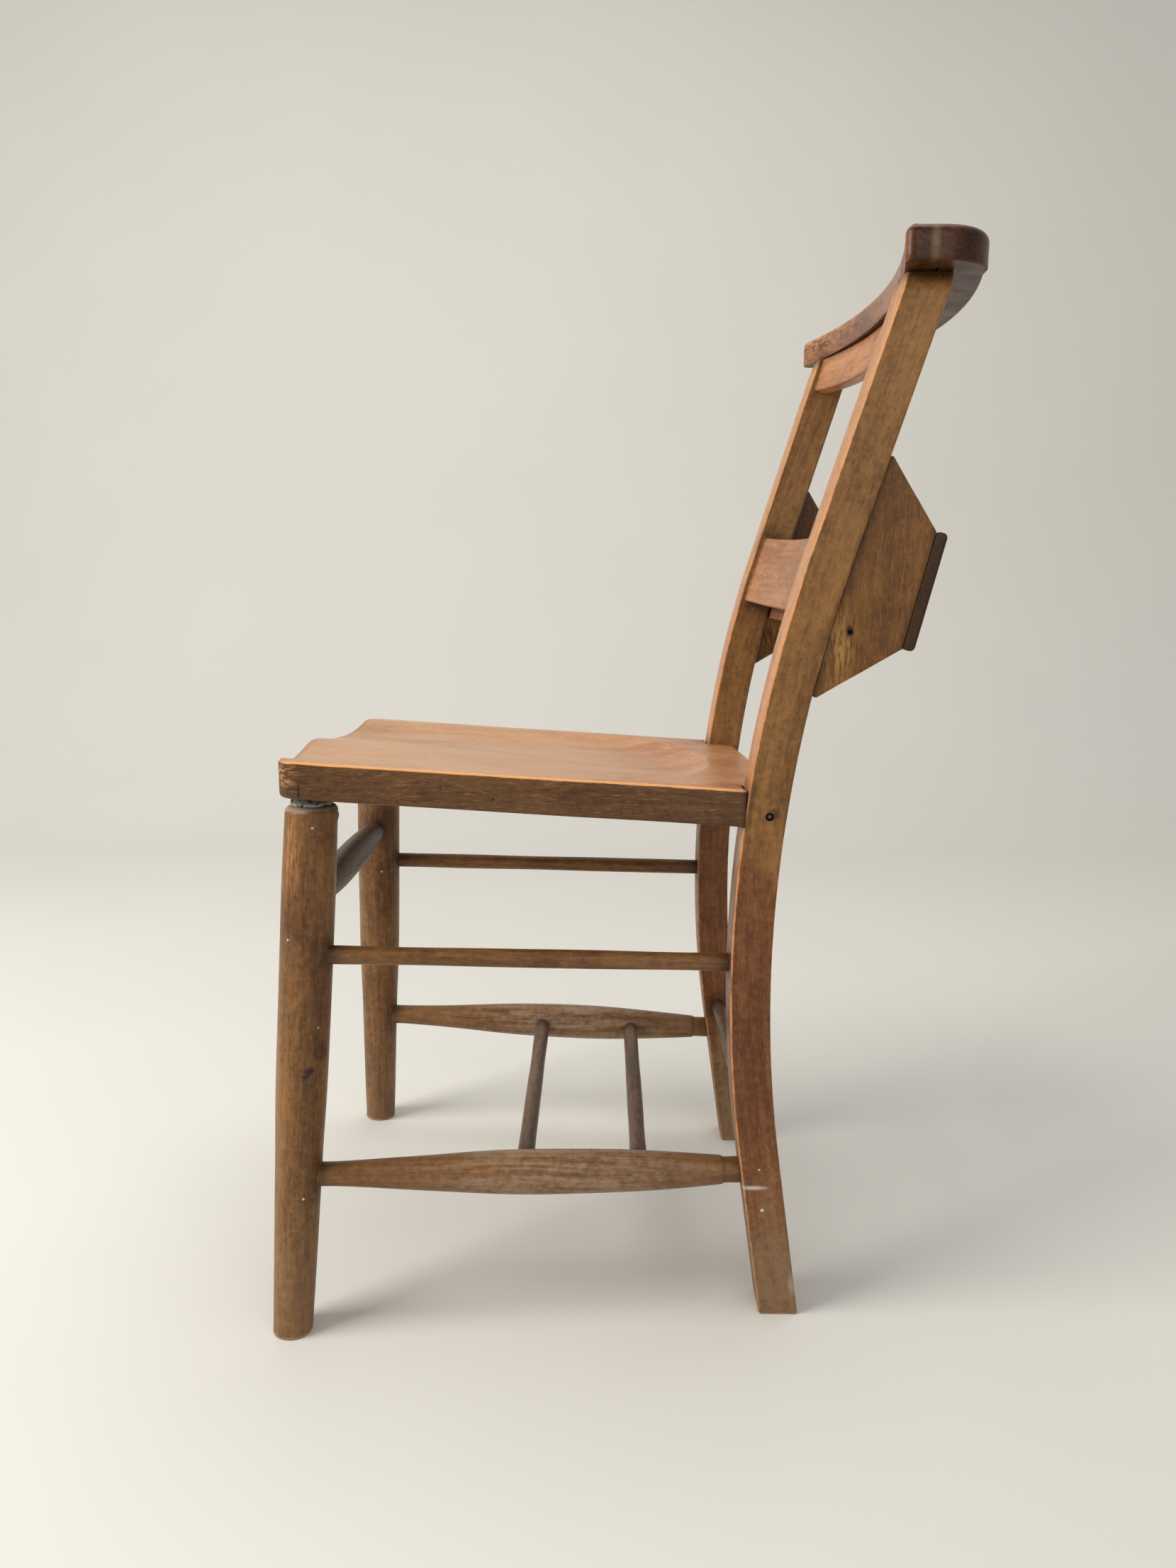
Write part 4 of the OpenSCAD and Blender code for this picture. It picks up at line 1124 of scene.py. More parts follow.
def leg_profile(shoulder, neck_top):
    """Heights and radii of a leg's circles: foot, body, a quarter circle at the shoulder, and neck."""
    body = np.linspace(LEG_FOOT_ROUND, SHOULDER_Z - shoulder, 150)
    radius = leg_radius(body)
    foot_in, foot_up = end_rounding(6, LEG_FOOT_ROUND)
    turn = quarter(9)[1:]
    z = np.concatenate(
        [
            np.zeros(2), foot_up[:-1], body,
            SHOULDER_Z - shoulder + shoulder * np.sin(turn),
            np.linspace(SHOULDER_Z, neck_top, 5)[1:],
        ]
    )
    r = np.concatenate(
        [
            radius[0] * np.array([0.3, 0.7]), radius[0] - foot_in[:-1], radius,
            radius[-1] - shoulder + shoulder * np.cos(turn),
            np.full(4, NECK_RADIUS),
        ]
    )
    return z, r


class CHAIR_OT_front_legs(bpy.types.Operator):
    """Adds the two turned front legs"""

    bl_idname = "chapel_chair.front_legs"
    bl_label = "Front legs"

    def execute(self, context):
        """Lays level circles along the leg's slanting line; a bell curve stands out for the splinter."""
        e, t = edges(), tones()
        angle = TURN * np.arange(LEG_STEPS) / LEG_STEPS
        out = np.stack([np.cos(angle), np.sin(angle), 0.0 * angle], -1)
        left_spots = (
            # Four specks of paint.
            spot(t.paint, (0.1682, -0.2428, 0.4185), 0.0009),
            spot(t.paint, (0.1771, -0.2642, 0.3290), 0.0009),
            spot(t.paint, (0.1817, -0.2407, 0.2571), 0.0008),
            spot(t.paint, (0.2003, -0.2544, 0.1180), 0.0009),
            # A rubbed place below the shoulder.
            spot(t.bare, (0.1687, -0.2607, 0.3976), 0.0100, 0.0090, 0.50, (0.4, 1.8, 0.5)),
            # A dark knot and two dents.
            spot(t.grime, (0.1822, -0.2401, 0.2368), 0.0050, 0.0020, 0.75, (0.5, 1.0, 0.7)),
            spot(t.grime, (0.1897, -0.2475, 0.2230), 0.0026, 0.0010, 0.8, (0.6, 0.6, 1.0)),
            spot(t.grime, (0.1914, -0.2501, 0.2189), 0.0020, 0.0010, 0.8, (0.6, 0.6, 1.0)),
            # Dust on the shoulder.
            spot(t.dust, (0.1500, -0.2500, SHOULDER_Z - 0.0010), 0.0012, 0.0010, 0.60, (0.0, 0.0, 1.0)),
        )
        right_spots = (spot(t.paint, (-0.1407, -0.2478, 0.3051), 0.0010),)
        for (side, tag), spots in zip(SIDES, (left_spots, right_spots)):
            z, r = leg_profile(e.shoulder, NECK_TOP[side])
            height = np.exp(-(((z - 0.4245) / 0.0022) ** 2))[:, None]
            splinter = 0.0017 * height * np.exp(-(((angle - TURN / 4.0) / 0.10) ** 2))
            reach = r[:, None] + splinter * (side > 0)
            rings = leg_axis(z)[:, None, :] + reach[..., None] * out
            on_body = ((z > 0.004) & (z < SHOULDER_Z - 0.001))[:, None]
            stray = e.chatter * 1.6 * chatter(rings * 0.7, 4.0 + side) * on_body
            rings = rings + stray[..., None] * out
            up = np.broadcast_to(z[:, None], (len(z), LEG_STEPS))
            grain = np.stack([r[:, None] * np.cos(angle), r[:, None] * np.sin(angle), up], -1)
            at_foot = np.exp(-(((z - 0.001) / 0.004) ** 2))
            at_shoulder = np.exp(-(((z - (SHOULDER_Z - 0.002)) / 0.004) ** 2))
            edge = at_foot + at_shoulder * 0.8
            upper, lower, front = (leg_axis(np.array(h)) for h in LEG_SOCKETS)
            behind, beside = np.array([0.0, 0.021, 0.0]), np.array([-0.021, 0.0, 0.0])
            soil = joint_dirt(rings, [upper + behind, lower + behind, front + beside], 0.017)
            # The neck above the shoulder is darkened through the dirt mark: joint dirt together with painted
            # shadow under the seat.
            neck = smooth((z - SHOULDER_Z + 0.004) / 0.004)[:, None]
            marks = marks_of(edge[:, None], np.maximum(soil * 0.8, neck * 0.8), 0.0)
            marks[:7, :, 2] = 0.3
            if side < 0:
                rings = mirrored(rings)
            finish = wood(
                "leg_wood_" + tag, t.leg_pale, t.leg_dark, 3.0 + side, gloss=0.38, rub=0.46,
                rub_tone=t.dust, figure=0.45, scuff=0.40, spots=spots, contrast=0.85,
            )
            node = "front_leg_" + tag
            mesh = tube_piece(node, rings, grain, marks)
            add_piece(node + "_turned", mesh, finish, "dark_turned_wood", node)
        return DONE


class CHAIR_OT_putty(bpy.types.Operator):
    """Adds the lumpy ring of putty in the left leg's open joint"""

    bl_idname = "chapel_chair.putty"
    bl_label = "Leg joint putty"

    def execute(self, context):
        """Carries a squashed circle round the neck; its reach rises and falls by two sines multiplied."""
        angle = TURN * np.arange(96) / 96
        around = TURN * np.arange(20) / 20
        bottom, top, inner = SHOULDER_Z + 0.0006, 0.4425, 0.0136
        wave = 0.5 + 0.5 * np.sin(3.0 * angle + 0.7) * np.sin(5.0 * angle)
        reach = 0.0150 + 0.0024 * (0.45 + 0.55 * wave)
        squash = np.sign(np.cos(around)) * np.abs(np.cos(around)) ** 0.6
        lift = np.sign(np.sin(around)) * np.abs(np.sin(around)) ** 0.7
        reach = reach * (1.0 - 0.055 * lift[:, None])
        r = inner + (reach - inner) * (0.5 + 0.5 * squash[:, None])
        z = np.broadcast_to(((bottom + top) / 2.0 + (top - bottom) / 2.0 * lift)[:, None], r.shape)
        rings = leg_axis(z) + np.stack([r * np.cos(angle), r * np.sin(angle), 0.0 * r], -1)
        m, n = rings.shape[:2]
        i, j = np.meshgrid(np.arange(m), np.arange(n), indexing="ij")
        i2, j2 = (i + 1) % m, (j + 1) % n
        quads = np.stack([i * n + j2, i2 * n + j2, i2 * n + j, i * n + j], -1).reshape(-1, 4)
        flat = rings.reshape(-1, 3)
        mesh = put_mesh("putty_ring", flat, quads, NO_TRIANGLES, flat, flat * 0.0)
        add_piece("leg_joint_putty", mesh, putty_finish(), "joint_putty", "leg_joint_filler")
        return DONE


class CHAIR_OT_rear_posts(bpy.types.Operator):
    """Adds the two bent rear posts"""

    bl_idname = "chapel_chair.rear_posts"
    bl_label = "Rear posts"

    def execute(self, context):
        """Lays a rounded rectangle between the post's four faces at each height, and bevels its top."""
        e, t = edges(), tones()
        top = CREST_LOW[2] - 0.0002
        inset_low, up_low = end_rounding(5, 0.0014)
        z = np.concatenate([np.zeros(3), up_low[:-1], np.linspace(0.0014, top - 0.0008, 190), [top]])
        shrink = np.concatenate([[0.014, 0.008, 0.003], inset_low[:-1], np.zeros(190), [0.0006]])
        front, back = post_y(z), post_y(z, POST_DEPTH)
        bevel = 0.0100 * np.clip((z - (top - 0.0140)) / 0.0140, 0.0, 1.0)
        inner, outer = post_inner(z), post_outer(z) - bevel
        corner = np.where(shrink > 0.0015, 0.0008, e.post)
        u, v, edge = rounded_section(outer - inner - 2.0 * shrink, back - front - 2.0 * shrink, corner, 12)
        x = u + ((inner + outer) / 2.0)[:, None]
        y = v + ((front + back) / 2.0)[:, None]
        up = np.broadcast_to(z[:, None], x.shape)
        grain = np.stack([u, v, up], -1)
        ends = (np.exp(-((z / 0.004) ** 2)) + np.exp(-(((z - top) / 0.004) ** 2)))[:, None]
        worn = np.maximum(edge * (0.75 + 0.25 * (v < 0)), ends)
        # Where the side stretchers, the rear stretcher, the box floor and the middle rail meet the post.
        joints = [
            [float(post_outer(0.306)) - 0.018, float(post_y(0.306)), 0.306],
            [float(post_outer(0.124)) - 0.018, float(post_y(0.124)), 0.1245],
            [float(post_inner(0.154)), float(post_y(0.154)) + 0.016, 0.154],
            [float(post_inner(0.620)), float(post_y(0.620)) + 0.012, 0.590],
            [float(post_inner(0.620)), float(post_y(0.650)) + 0.012, 0.650],
        ]
        left_spots = (
            # Two specks, a white smear, a chip at the foot, and the dark spot round the screw: stain, and
            # painted shade for its sunk hole.
            spot(t.paint, (0.1770, 0.1208, 0.0968), 0.0014),
            spot(t.paint, (0.1780, 0.1174, 0.1335), 0.0011, 0.0005, 0.6),
            spot(t.paint, (0.1770, 0.1129, 0.1171), 0.0016, 0.0012, 0.60, (0.3, 0.18, 1.0)),
            spot(t.dust, (0.1750, 0.1484, 0.0285), 0.0050, 0.0024, 0.9, (0.4, 1.4, 0.5)),
            spot(t.grime, (0.1840, 0.1205, 0.4338), 0.0050, 0.0016, 0.75),
        )
        right_spots = (spot(t.paint, (-0.1400, 0.0917, 0.3080), 0.0014),)
        for (side, tag), spots in zip(SIDES, (left_spots, right_spots)):
            rings = np.stack([x, y, up], -1)
            stray = e.chatter * chatter(rings * 0.6, 7.0 + side)
            rings[..., 0] += stray * np.sign(u) * (np.abs(u) > 0.010)
            seat_line = np.abs(z - (0.4400 - (0.010 if side < 0 else 0.0)))[:, None]
            at_seat = np.exp(-((np.maximum(seat_line - 0.0150, 0.0) / 0.006) ** 2)) * (v < -0.012)
            # A band at the post's top is darkened with the grime tone: painted shadow under the crest.
            shadow_under_crest = np.exp(-(((z - top) / 0.007) ** 2))[:, None]
            soil = np.maximum(joint_dirt(rings, joints, 0.013), 0.55 * at_seat)
            marks = marks_of(worn, np.maximum(soil, 0.95 * shadow_under_crest), 0.0)
            marks[:6, :, 2] = 1.0
            # The front tones on the posts' forward faces are painted light.
            finish = wood(
                "post_wood_" + tag, t.post_pale, t.post_dark, 5.0 + side, gloss=0.38, rub=0.42,
                figure=0.40, spots=spots, scuff=0.9, lit_front_tones=(t.front_lit_pale, t.front_lit_dark),
                low_tones=(t.post_low_pale, t.post_low_dark, 0.400, 0.455),
            )
            if side < 0:
                rings = mirrored(rings)
            node = "rear_post_" + tag
            mesh = tube_piece(node, rings, grain, marks)
            add_piece(node + "_sawn", mesh, finish, "post_wood", node)
        return DONE


CREST_FRONT_RADIUS = 0.8400
CREST_BACK_RADIUS = 0.7000
CREST_END_RADIUS = 0.0420
CREST_NOSE_RADIUS = 0.0080


def crest_outline():
    """The crest rail's plan as one closed ring.

    The front and the back are arcs of large circles, the front hollow and the
    back full. A small arc turns the front corner, and a larger one the end.
    """
    half, end_r, nose = CREST_HIGH[0], CREST_END_RADIUS, CREST_NOSE_RADIUS
    sag = CREST_FRONT_RADIUS - np.sqrt(CREST_FRONT_RADIUS**2 - half**2)
    front_top = CREST_LOW[1] + 0.0004 + sag - CREST_FRONT_RADIUS
    back_top = CREST_HIGH[1] - CREST_BACK_RADIUS

    def front_line(x):
        """Y of the front arc at x."""
        return front_top + np.sqrt(CREST_FRONT_RADIUS**2 - x**2)

    def back_line(x):
        """Y of the back arc at x."""
        return back_top + np.sqrt(CREST_BACK_RADIUS**2 - x**2)

    nx, ex = half - nose, half - end_r
    ey = back_line(ex) - end_r * np.cos(np.arcsin(ex / CREST_BACK_RADIUS))
    x = np.linspace(0.0, nx, 70)
    front = np.stack([x, front_line(x)], -1)
    a = np.radians(np.linspace(-62.0, -3.0, 10))
    nose_arc = np.stack([nx + nose * np.cos(a), front_line(nx) + nose * 0.93 + nose * np.sin(a)], -1)
    a = np.radians(np.linspace(0.0, 75.0, 26))
    end_arc = np.stack([ex + end_r * np.cos(a), ey + end_r * np.sin(a)], -1)
    x = np.linspace(ex - 0.004, 0.0, 60)
    back = np.stack([x, back_line(x)], -1)
    left = np.concatenate([front, nose_arc, end_arc, back])
    return np.concatenate([left, mirrored_plan(left[-2:0:-1])])


class CHAIR_OT_crest(bpy.types.Operator):
    """Adds the wide crest rail across the tops of the posts"""

    bl_idname = "chapel_chair.crest"
    bl_label = "Crest rail"

    def execute(self, context):
        """Lays the board's rings round a curved line that runs along its middle."""
        e, t = edges(), tones()
        ring = crest_outline()
        normal = ring_normals(ring)
        middle_y = (CREST_LOW[1] + CREST_HIGH[1]) / 2.0 + 0.006
        spine = np.stack([ring[:, 0] * 0.94, middle_y - 0.10 * ring[:, 0] ** 2 / CREST_HIGH[0]], -1)
        thickness = CREST_HIGH[2] - CREST_LOW[2]
        turn = quarter(12)
        inset, rise = edge_profile(e.crest, e.crest_top, thickness, turn[::2], 4, turn)
        below, above = np.linspace(0.05, 0.95, 8), np.linspace(0.97, 0.03, 16)
        plan, up = board(ring, normal, spine, inset, rise, below, above)
        up = np.broadcast_to((CREST_LOW[2] + up)[:, None], plan.shape[:2])
        rings = np.concatenate([plan, up[..., None]], -1)
        sway = smooth((rings[..., 2] - CREST_LOW[2]) / thickness) * chatter(rings * 0.6, 9.0)
        rings[..., 2] -= 0.0003 * (0.5 + 0.5 * sway)
        grain = np.stack([rings[..., 1], rings[..., 2], rings[..., 0]], -1)

        low_edge = np.sin(np.linspace(0, np.pi, 6)) * 0.8
        top_edge = 0.75 * np.sin(np.linspace(0.2, np.pi - 0.2, 12))
        edge = per_ring(below, np.concatenate([low_edge, np.zeros(4), top_edge]), 0.0 * above)
        cut = per_ring(below, np.ones(len(rise)), 0.0 * above)[:, None]
        cut = cut * smooth((np.abs(normal[:, 0]) - 0.35) / 0.5)
        foot_x, foot_y = float(post_inner(CREST_LOW[2])), float(post_y(CREST_LOW[2]))
        posts = [[s * foot_x, foot_y, CREST_LOW[2]] for s in (LEFT, RIGHT)]
        # The crest's whole underside is darkened with the grime tone through the dirt mark: painted shade.
        underside = 0.85 * (rings[..., 2] < CREST_LOW[2] + 0.0004)
        marks = marks_of(edge[:, None], np.maximum(joint_dirt(rings, posts, 0.02) * 0.8, underside), cut)
        x = CREST_HIGH[0]
        spots = (
            # The dark end and its darker back corner, a pale mark on it, and the rubbed far end, whose bare
            # patch also paints the highlight along its top front edge.
            spot(t.crest_dark, (x, 0.2500, 0.8400), 0.0260, 0.0200, 0.55, (0.3, 1.0, 0.8)),
            spot(t.grime, (x, 0.2600, 0.8400), 0.0240, 0.0058, 0.50, (0.3, 1.0, 0.8)),
            spot(t.dust, (x, 0.2165, 0.8430), 0.0024, 0.0024, 0.32, (0.2, 1.0, 0.20)),
            spot(t.bare, (-0.1500, 0.1850, 0.8540), 0.0300, 0.0280, 0.80, (0.25, 1.0, 1.8)),
        )
        finish = wood(
            "crest_wood", t.crest_pale, t.crest_dark, 11.0, gloss=0.30, rub=0.58, rub_tone=t.bare,
            figure=0.5, spots=spots, end_tone=(0.15, 0.13, 0.07), specular=0.18, coat=0.12,
        )
        mesh = tube_piece("crest_rail", rings, grain, marks)
        add_piece("crest_rail_top", mesh, finish, "crest_wood", "crest_rail")
        return DONE


def bent_rail(up_low, up_high, level_top=None):
    """A bent lath between the posts: a rounded section carried along an arc.

    The arc's ends lie a little behind the posts' front faces. Its x is the
    radius times the sine of the turn, and its depth the radius times the
    cosine. Where level_top is given, the top edge is cut level at that height.
    """
    open_half = float(post_inner(float(on_back(0.0, 0.0, up_low)[2])))
    sag = RAIL_RADIUS - np.sqrt(RAIL_RADIUS**2 - open_half**2)
    centre = RAIL_SETBACK + sag - RAIL_RADIUS
    half = np.arcsin((open_half + RAIL_TENON) / RAIL_RADIUS)
    turn = np.linspace(-half, half, 150)
    u, v, edge = rounded_section(np.full(150, RAIL_DEPTH), up_high - up_low, edges().rail, 12)
    r = RAIL_RADIUS + RAIL_DEPTH / 2.0 + u
    x = r * np.sin(turn)[:, None]
    behind = centre + r * np.cos(turn)[:, None]
    up = v + (up_low + up_high) / 2.0
    if level_top is not None:
        limit = (level_top - BEND_HEIGHT + behind * sin(BACK_LEAN)) / cos(BACK_LEAN)
        up = up_low + (up - up_low) * (limit - up_low) / (up_high - up_low)
    rings = on_back(x, behind, up)
    grain = np.stack([u, v, np.broadcast_to((RAIL_RADIUS * turn)[:, None], u.shape)], -1)
    near_end = np.exp(-(((open_half - np.abs(x)) / 0.005) ** 2))
    return rings, grain, marks_of(edge * 0.8, near_end * 0.7, 0.0)


class CHAIR_OT_back_rails(bpy.types.Operator):
    """Adds the two bent back rails"""

    bl_idname = "chapel_chair.back_rails"
    bl_label = "Back rails"

    def execute(self, context):
        """Bends both rails; the upper one is cut level under the crest and darkened along that line by joint
        dirt and painted shadow.
        """
        t = tones()
        pale, dark = tuple(t.rail_pale), tuple(t.rail_dark)
        rings, grain, marks = bent_rail(0.2100, 0.2760)
        finish = wood(
            "middle_rail_wood", shade(pale, 0.86), shade(dark, 0.86), 13.0, gloss=0.36, rub=0.35, figure=0.6
        )
        mesh = tube_piece("mid_back_rail", rings, grain, marks)
        add_piece("mid_back_rail_bent", mesh, finish, "pale_rail_wood", "mid_back_rail")

        rings, grain, marks = bent_rail(0.4280, 0.4700, level_top=CREST_LOW[2] - 0.0003)
        # The band along the upper rail's top is joint dirt together with painted shadow under the crest.
        under = 0.8 * np.exp(-(((rings[..., 2] - CREST_LOW[2]) / 0.004) ** 2))
        marks[..., 1] = np.maximum(marks[..., 1], under)
        finish = wood("upper_rail_wood", pale, dark, 15.0, gloss=0.36, rub=0.35, figure=0.6)
        mesh = tube_piece("upper_back_rail", rings, grain, marks)
        add_piece("upper_back_rail_bent", mesh, finish, "pale_rail_wood", "upper_back_rail")
        return DONE


UPPER_RADIUS = 0.0075
LOWER_NECK, LOWER_END, LOWER_SWELL, LOWER_REAR_NECK = 0.0101, 0.0105, 0.01825, 0.0104
# Shares of the lower stretcher's length: where its swell begins, is widest and ends.
SWELL_START, SWELL_PEAK, SWELL_END = 0.0700, 0.560, 0.9080
# Shares of its length at which the cross stretchers enter it.
CROSS_SHARES = (0.4840, 0.7580)


def lower_swell(s):
    """How full the lower stretcher is at a share s of its length, from 0 at its necks to 1.

    Up to the widest place it is a sine to the power 1.45, and beyond it a
    cosine to the power 0.85 that stops short of nothing.
    """
    rising = np.clip((s - SWELL_START) / (SWELL_PEAK - SWELL_START), 0.0, 1.0)
    falling = np.clip((s - SWELL_PEAK) / (SWELL_END - SWELL_PEAK), 0.0, 1.0)
    return np.where(s < SWELL_PEAK, np.sin(rising * np.pi / 2.0) ** 1.45, np.cos(falling * np.pi / 2.2) ** 0.85)


class CHAIR_OT_side_stretchers(bpy.types.Operator):
    """Adds the plain upper and the swelled lower side stretchers"""

    bl_idname = "chapel_chair.side_stretchers"
    bl_label = "Side stretchers"

    def execute(self, context):
        """Makes an upper and a lower stretcher for each side."""
        for side, tag in SIDES:
            self.upper(side, tag)
            self.lower(side, tag)
        return DONE

    def upper(self, side, tag):
        """A plain rod from the front leg down to the post, whose radius wanders by a slow sine."""
        t = tones()
        low, high = box("upper_side_stretcher_left")
        start = np.array([high[0] - UPPER_RADIUS, low[1], high[2] - UPPER_RADIUS])
        finish_point = np.array([low[0] + UPPER_RADIUS, high[1], low[2] + UPPER_RADIUS])
        total = np.linalg.norm(finish_point - start)
        along = np.linspace(0.0, total, 90)
        radius = UPPER_RADIUS + 0.0002 * np.sin(along * 31.0 + side)
        rings, grain, marks = turned(start, finish_point, along, radius, 36, 21.0 + side)
        front_end = np.exp(-(((along - 0.020) / 0.012) ** 2))
        rear_end = np.exp(-(((along - total + 0.020) / 0.012) ** 2))
        marks[..., 1] = np.clip(front_end + rear_end, 0.0, 1.0)[:, None] * 0.7
        if side < 0:
            rings = mirrored(rings)
        finish = wood(
            "upper_stretcher_wood_" + tag, shade(tuple(t.leg_pale), 0.85), t.leg_dark, 17.0 + side,
            gloss=0.38, rub=0.3, figure=0.8, contrast=0.80, coat=0.12,
        )
        node = "upper_side_stretcher_" + tag
        mesh = tube_piece("upper_" + tag, rings, grain, marks)
        add_piece(node + "_rod", mesh, finish, "dark_turned_wood", node)

    def lower(self, side, tag):
        """A swelled rod: the neck's radius plus the swell's share of the rest, with a straight rear neck."""
        t = tones()
        low, high = box("lower_side_stretcher_left")
        start = np.array([high[0] - LOWER_END, low[1], 0.1300])
        finish_point = np.array([low[0] + LOWER_END, high[1], 0.1240])
        total = np.linalg.norm(finish_point - start)
        along = np.linspace(0.0, total, 220)
        s = along / total
        swell = lower_swell(s)
        neck = smooth((s - SWELL_END) / 0.006)
        radius = LOWER_NECK + (LOWER_SWELL - LOWER_NECK) * swell
        radius = radius * (1.0 - neck) + LOWER_REAR_NECK * neck
        rings, grain, marks = turned(start, finish_point, along, radius, 56, 25.0 + side, uneven=1.6)
        inwards = np.array([-0.0175, 0.0, 0.0])
        soil = joint_dirt(rings, [start + (finish_point - start) * c + inwards for c in CROSS_SHARES], 0.012)
        at_ends = 0.6 * np.exp(-(((along - 0.020) / 0.005) ** 2)) + neck * 0.2
        marks[..., 1] = np.maximum(soil * 0.8, np.clip(at_ends, 0.0, 1.0)[:, None] * 0.8)
        shoulder = np.exp(-(((s - SWELL_END + 0.004) / 0.006) ** 2))
        # The swell is rubbed in the dust tone, which also paints its grey sheen.
        marks[..., 0] = np.maximum(0.45 * shoulder, 0.30 * swell**2)[:, None]
        if side < 0:
            rings = mirrored(rings)
        spots = (
            # The broad bloom where feet have rubbed it, which also paints the grey sheen on the rod's middle,
            # and a speck of paint.
            spot(t.dust, (side * 0.2000, -0.0500, 0.1370), 0.0900, 0.0800, 0.60, (0.3, 1.0, 1.0)),
            spot(t.paint, (side * 0.2000, 0.0400, 0.1300), 0.0010, 0.0004, 0.8, (0.05, 1.0, 1.0)),
        )
        finish = wood(
            "lower_stretcher_wood_" + tag, t.leg_pale, t.leg_dark, 19.0 + side, gloss=0.36, rub=0.48,
            spots=spots, rub_tone=t.dust, figure=0.45, scuff=0.0, contrast=0.60, coat=0.12,
        )
        node = "lower_side_stretcher_" + tag
        mesh = tube_piece("lower_" + tag, rings, grain, marks)
        add_piece(node + "_turned", mesh, finish, "dark_turned_wood", node)


def level_line(node):
    """Ends of a level rod along x, and its thickness, from its node's box."""
    low, high = box(node)
    mid = (low + high) / 2.0
    return np.array([low[0], mid[1], mid[2]]), np.array([high[0], mid[1], mid[2]]), high[2] - low[2]


class CHAIR_OT_front_stretcher(bpy.types.Operator):
    """Adds the swelled front stretcher"""

    bl_idname = "chapel_chair.front_stretcher"
    bl_label = "Front stretcher"

    def execute(self, context):
        """The radius is the end's, plus a sine to the power 0.65 of the length times the rest."""
        t = tones()
        start, finish_point, thick = level_line("front_stretcher")
        total = finish_point[0] - start[0]
        along = np.linspace(0.0, total, 150)
        s = along / total
        swell = np.sin(np.clip((s - 0.05) / 0.90, 0.0, 1.0) * np.pi) ** 0.65
        radius = 0.0085 + (thick - 0.017) / 2.0 * swell - 0.0003
        rings, grain, marks = turned(start, finish_point, along, radius, 48, 31.0, uneven=1.2)
        ends = np.exp(-(((np.abs(s - 0.5) - 0.425) / 0.03) ** 2))
        marks[..., 1] = ends[:, None] * 0.4
        finish = wood(
            "front_stretcher_wood", t.cross_pale, t.cross_dark, 23.0, gloss=0.46, rub=0.35,
            rub_tone=t.dust, figure=0.8,
        )
        mesh = tube_piece("front_stretcher", rings, grain, marks)
        add_piece("front_stretcher_turned", mesh, finish, "dark_turned_wood", "front_stretcher")
        return DONE


class CHAIR_OT_plain_stretchers(bpy.types.Operator):
    """Adds the two cross stretchers and the rear stretcher"""

    bl_idname = "chapel_chair.plain_stretchers"
    bl_label = "Cross and rear stretchers"

    def execute(self, context):
        """Each radius is half the rod's thickness, and wanders by a slow sine."""
        t = tones()
        pale, dark = shade(tuple(t.cross_pale), 1.35), shade(tuple(t.cross_dark), 1.35)
        for k, node in enumerate(("cross_stretcher_front", "cross_stretcher_rear", "rear_stretcher")):
            start, finish_point, thick = level_line(node)
            along = np.linspace(0.0, finish_point[0] - start[0], 90)
            radius = thick / 2.0 - 0.0002 + 0.00015 * np.sin(along * 40.0 + k)
            rings, grain, marks = turned(start, finish_point, along, radius, 36, 33.0 + k)
            reach = np.abs(along - along[-1] / 2.0) - (along[-1] / 2.0 - 0.014)
            marks[..., 1] = (0.75 * np.exp(-((reach / 0.012) ** 2)))[:, None]
            finish = wood(
                node + "_wood", pale, dark, 27.0 + k, gloss=0.42, rub=0.4, rub_tone=t.dust,
                figure=0.8, scuff=0.0,
            )
            mesh = tube_piece(node, rings, grain, marks)
            add_piece(node + "_rod", mesh, finish, "dark_turned_wood", node)
        return DONE


def slab(outline, thickness, radius, place, dirt):
    """A flat board with softened edges, from its outline in its own plane.

    place turns (u, v, through) into points. The rings run out from the middle
    of one face, round the edge and back to the middle of the other, as board()
    says. Returns them with their marks, their plan points and their heights.
    """
    ring = np.asarray(outline, float)
    inset, rise = edge_profile(radius, radius, thickness, quarter(6), 3, quarter(6))
    out = np.linspace(0.04, 0.97, 26)
    plan, up = board(ring, ring_normals(ring), ring.mean(0), inset, rise, out, out[::-1])
    arc = np.sin(np.linspace(0.0, np.pi, 6))
    edge = per_ring(out, np.concatenate([arc, np.full(3, 0.15), arc]), 0.0 * out)[:, None]
    up = np.broadcast_to(up[:, None], plan.shape[:2])
    rings = place(plan[..., 0], plan[..., 1], up)
    return rings, marks_of(edge, dirt(rings), 0.0), plan, up


def rounded_corners(corners, radius=0.0022, spacing=0.0030):
    """Points set evenly along the sides of an anticlockwise polygon, with an arc at each corner.

    An arc's centre lies on the corner's bisector, at the radius over the sine
    of half the corner's angle. Its points turn evenly from the one side's
    direction to the other's.
    """
    corners = np.asarray(corners, float)
    runs = []
    for before, here, after in zip(np.roll(corners, 1, 0), corners, np.roll(corners, -1, 0)):
        one, two = ((other - here) / np.linalg.norm(other - here) for other in (before, after))
        half = np.arccos(np.clip(one @ two, -1.0, 1.0)) / 2.0
        reach = radius / np.tan(half)
        centre = here + (one + two) / np.linalg.norm(one + two) * radius / np.sin(half)
        first, last = here + one * reach - centre, here + two * reach - centre
        sweep = np.pi - 2.0 * half
        a = np.linspace(0.0, 1.0, 7)[:, None]
        runs.append(centre + (np.sin((1.0 - a) * sweep) * first + np.sin(a * sweep) * last) / np.sin(sweep))
    ring = []
    for run, following in zip(runs, runs[1:] + runs[:1]):
        ring.append(run)
        span = np.linalg.norm(following[0] - run[-1])
        steps = np.linspace(0.0, 1.0, max(int(span / spacing), 3) + 1)[1:-1, None]
        ring.append(run[-1] + (following[0] - run[-1]) * steps)
    return np.concatenate(ring)


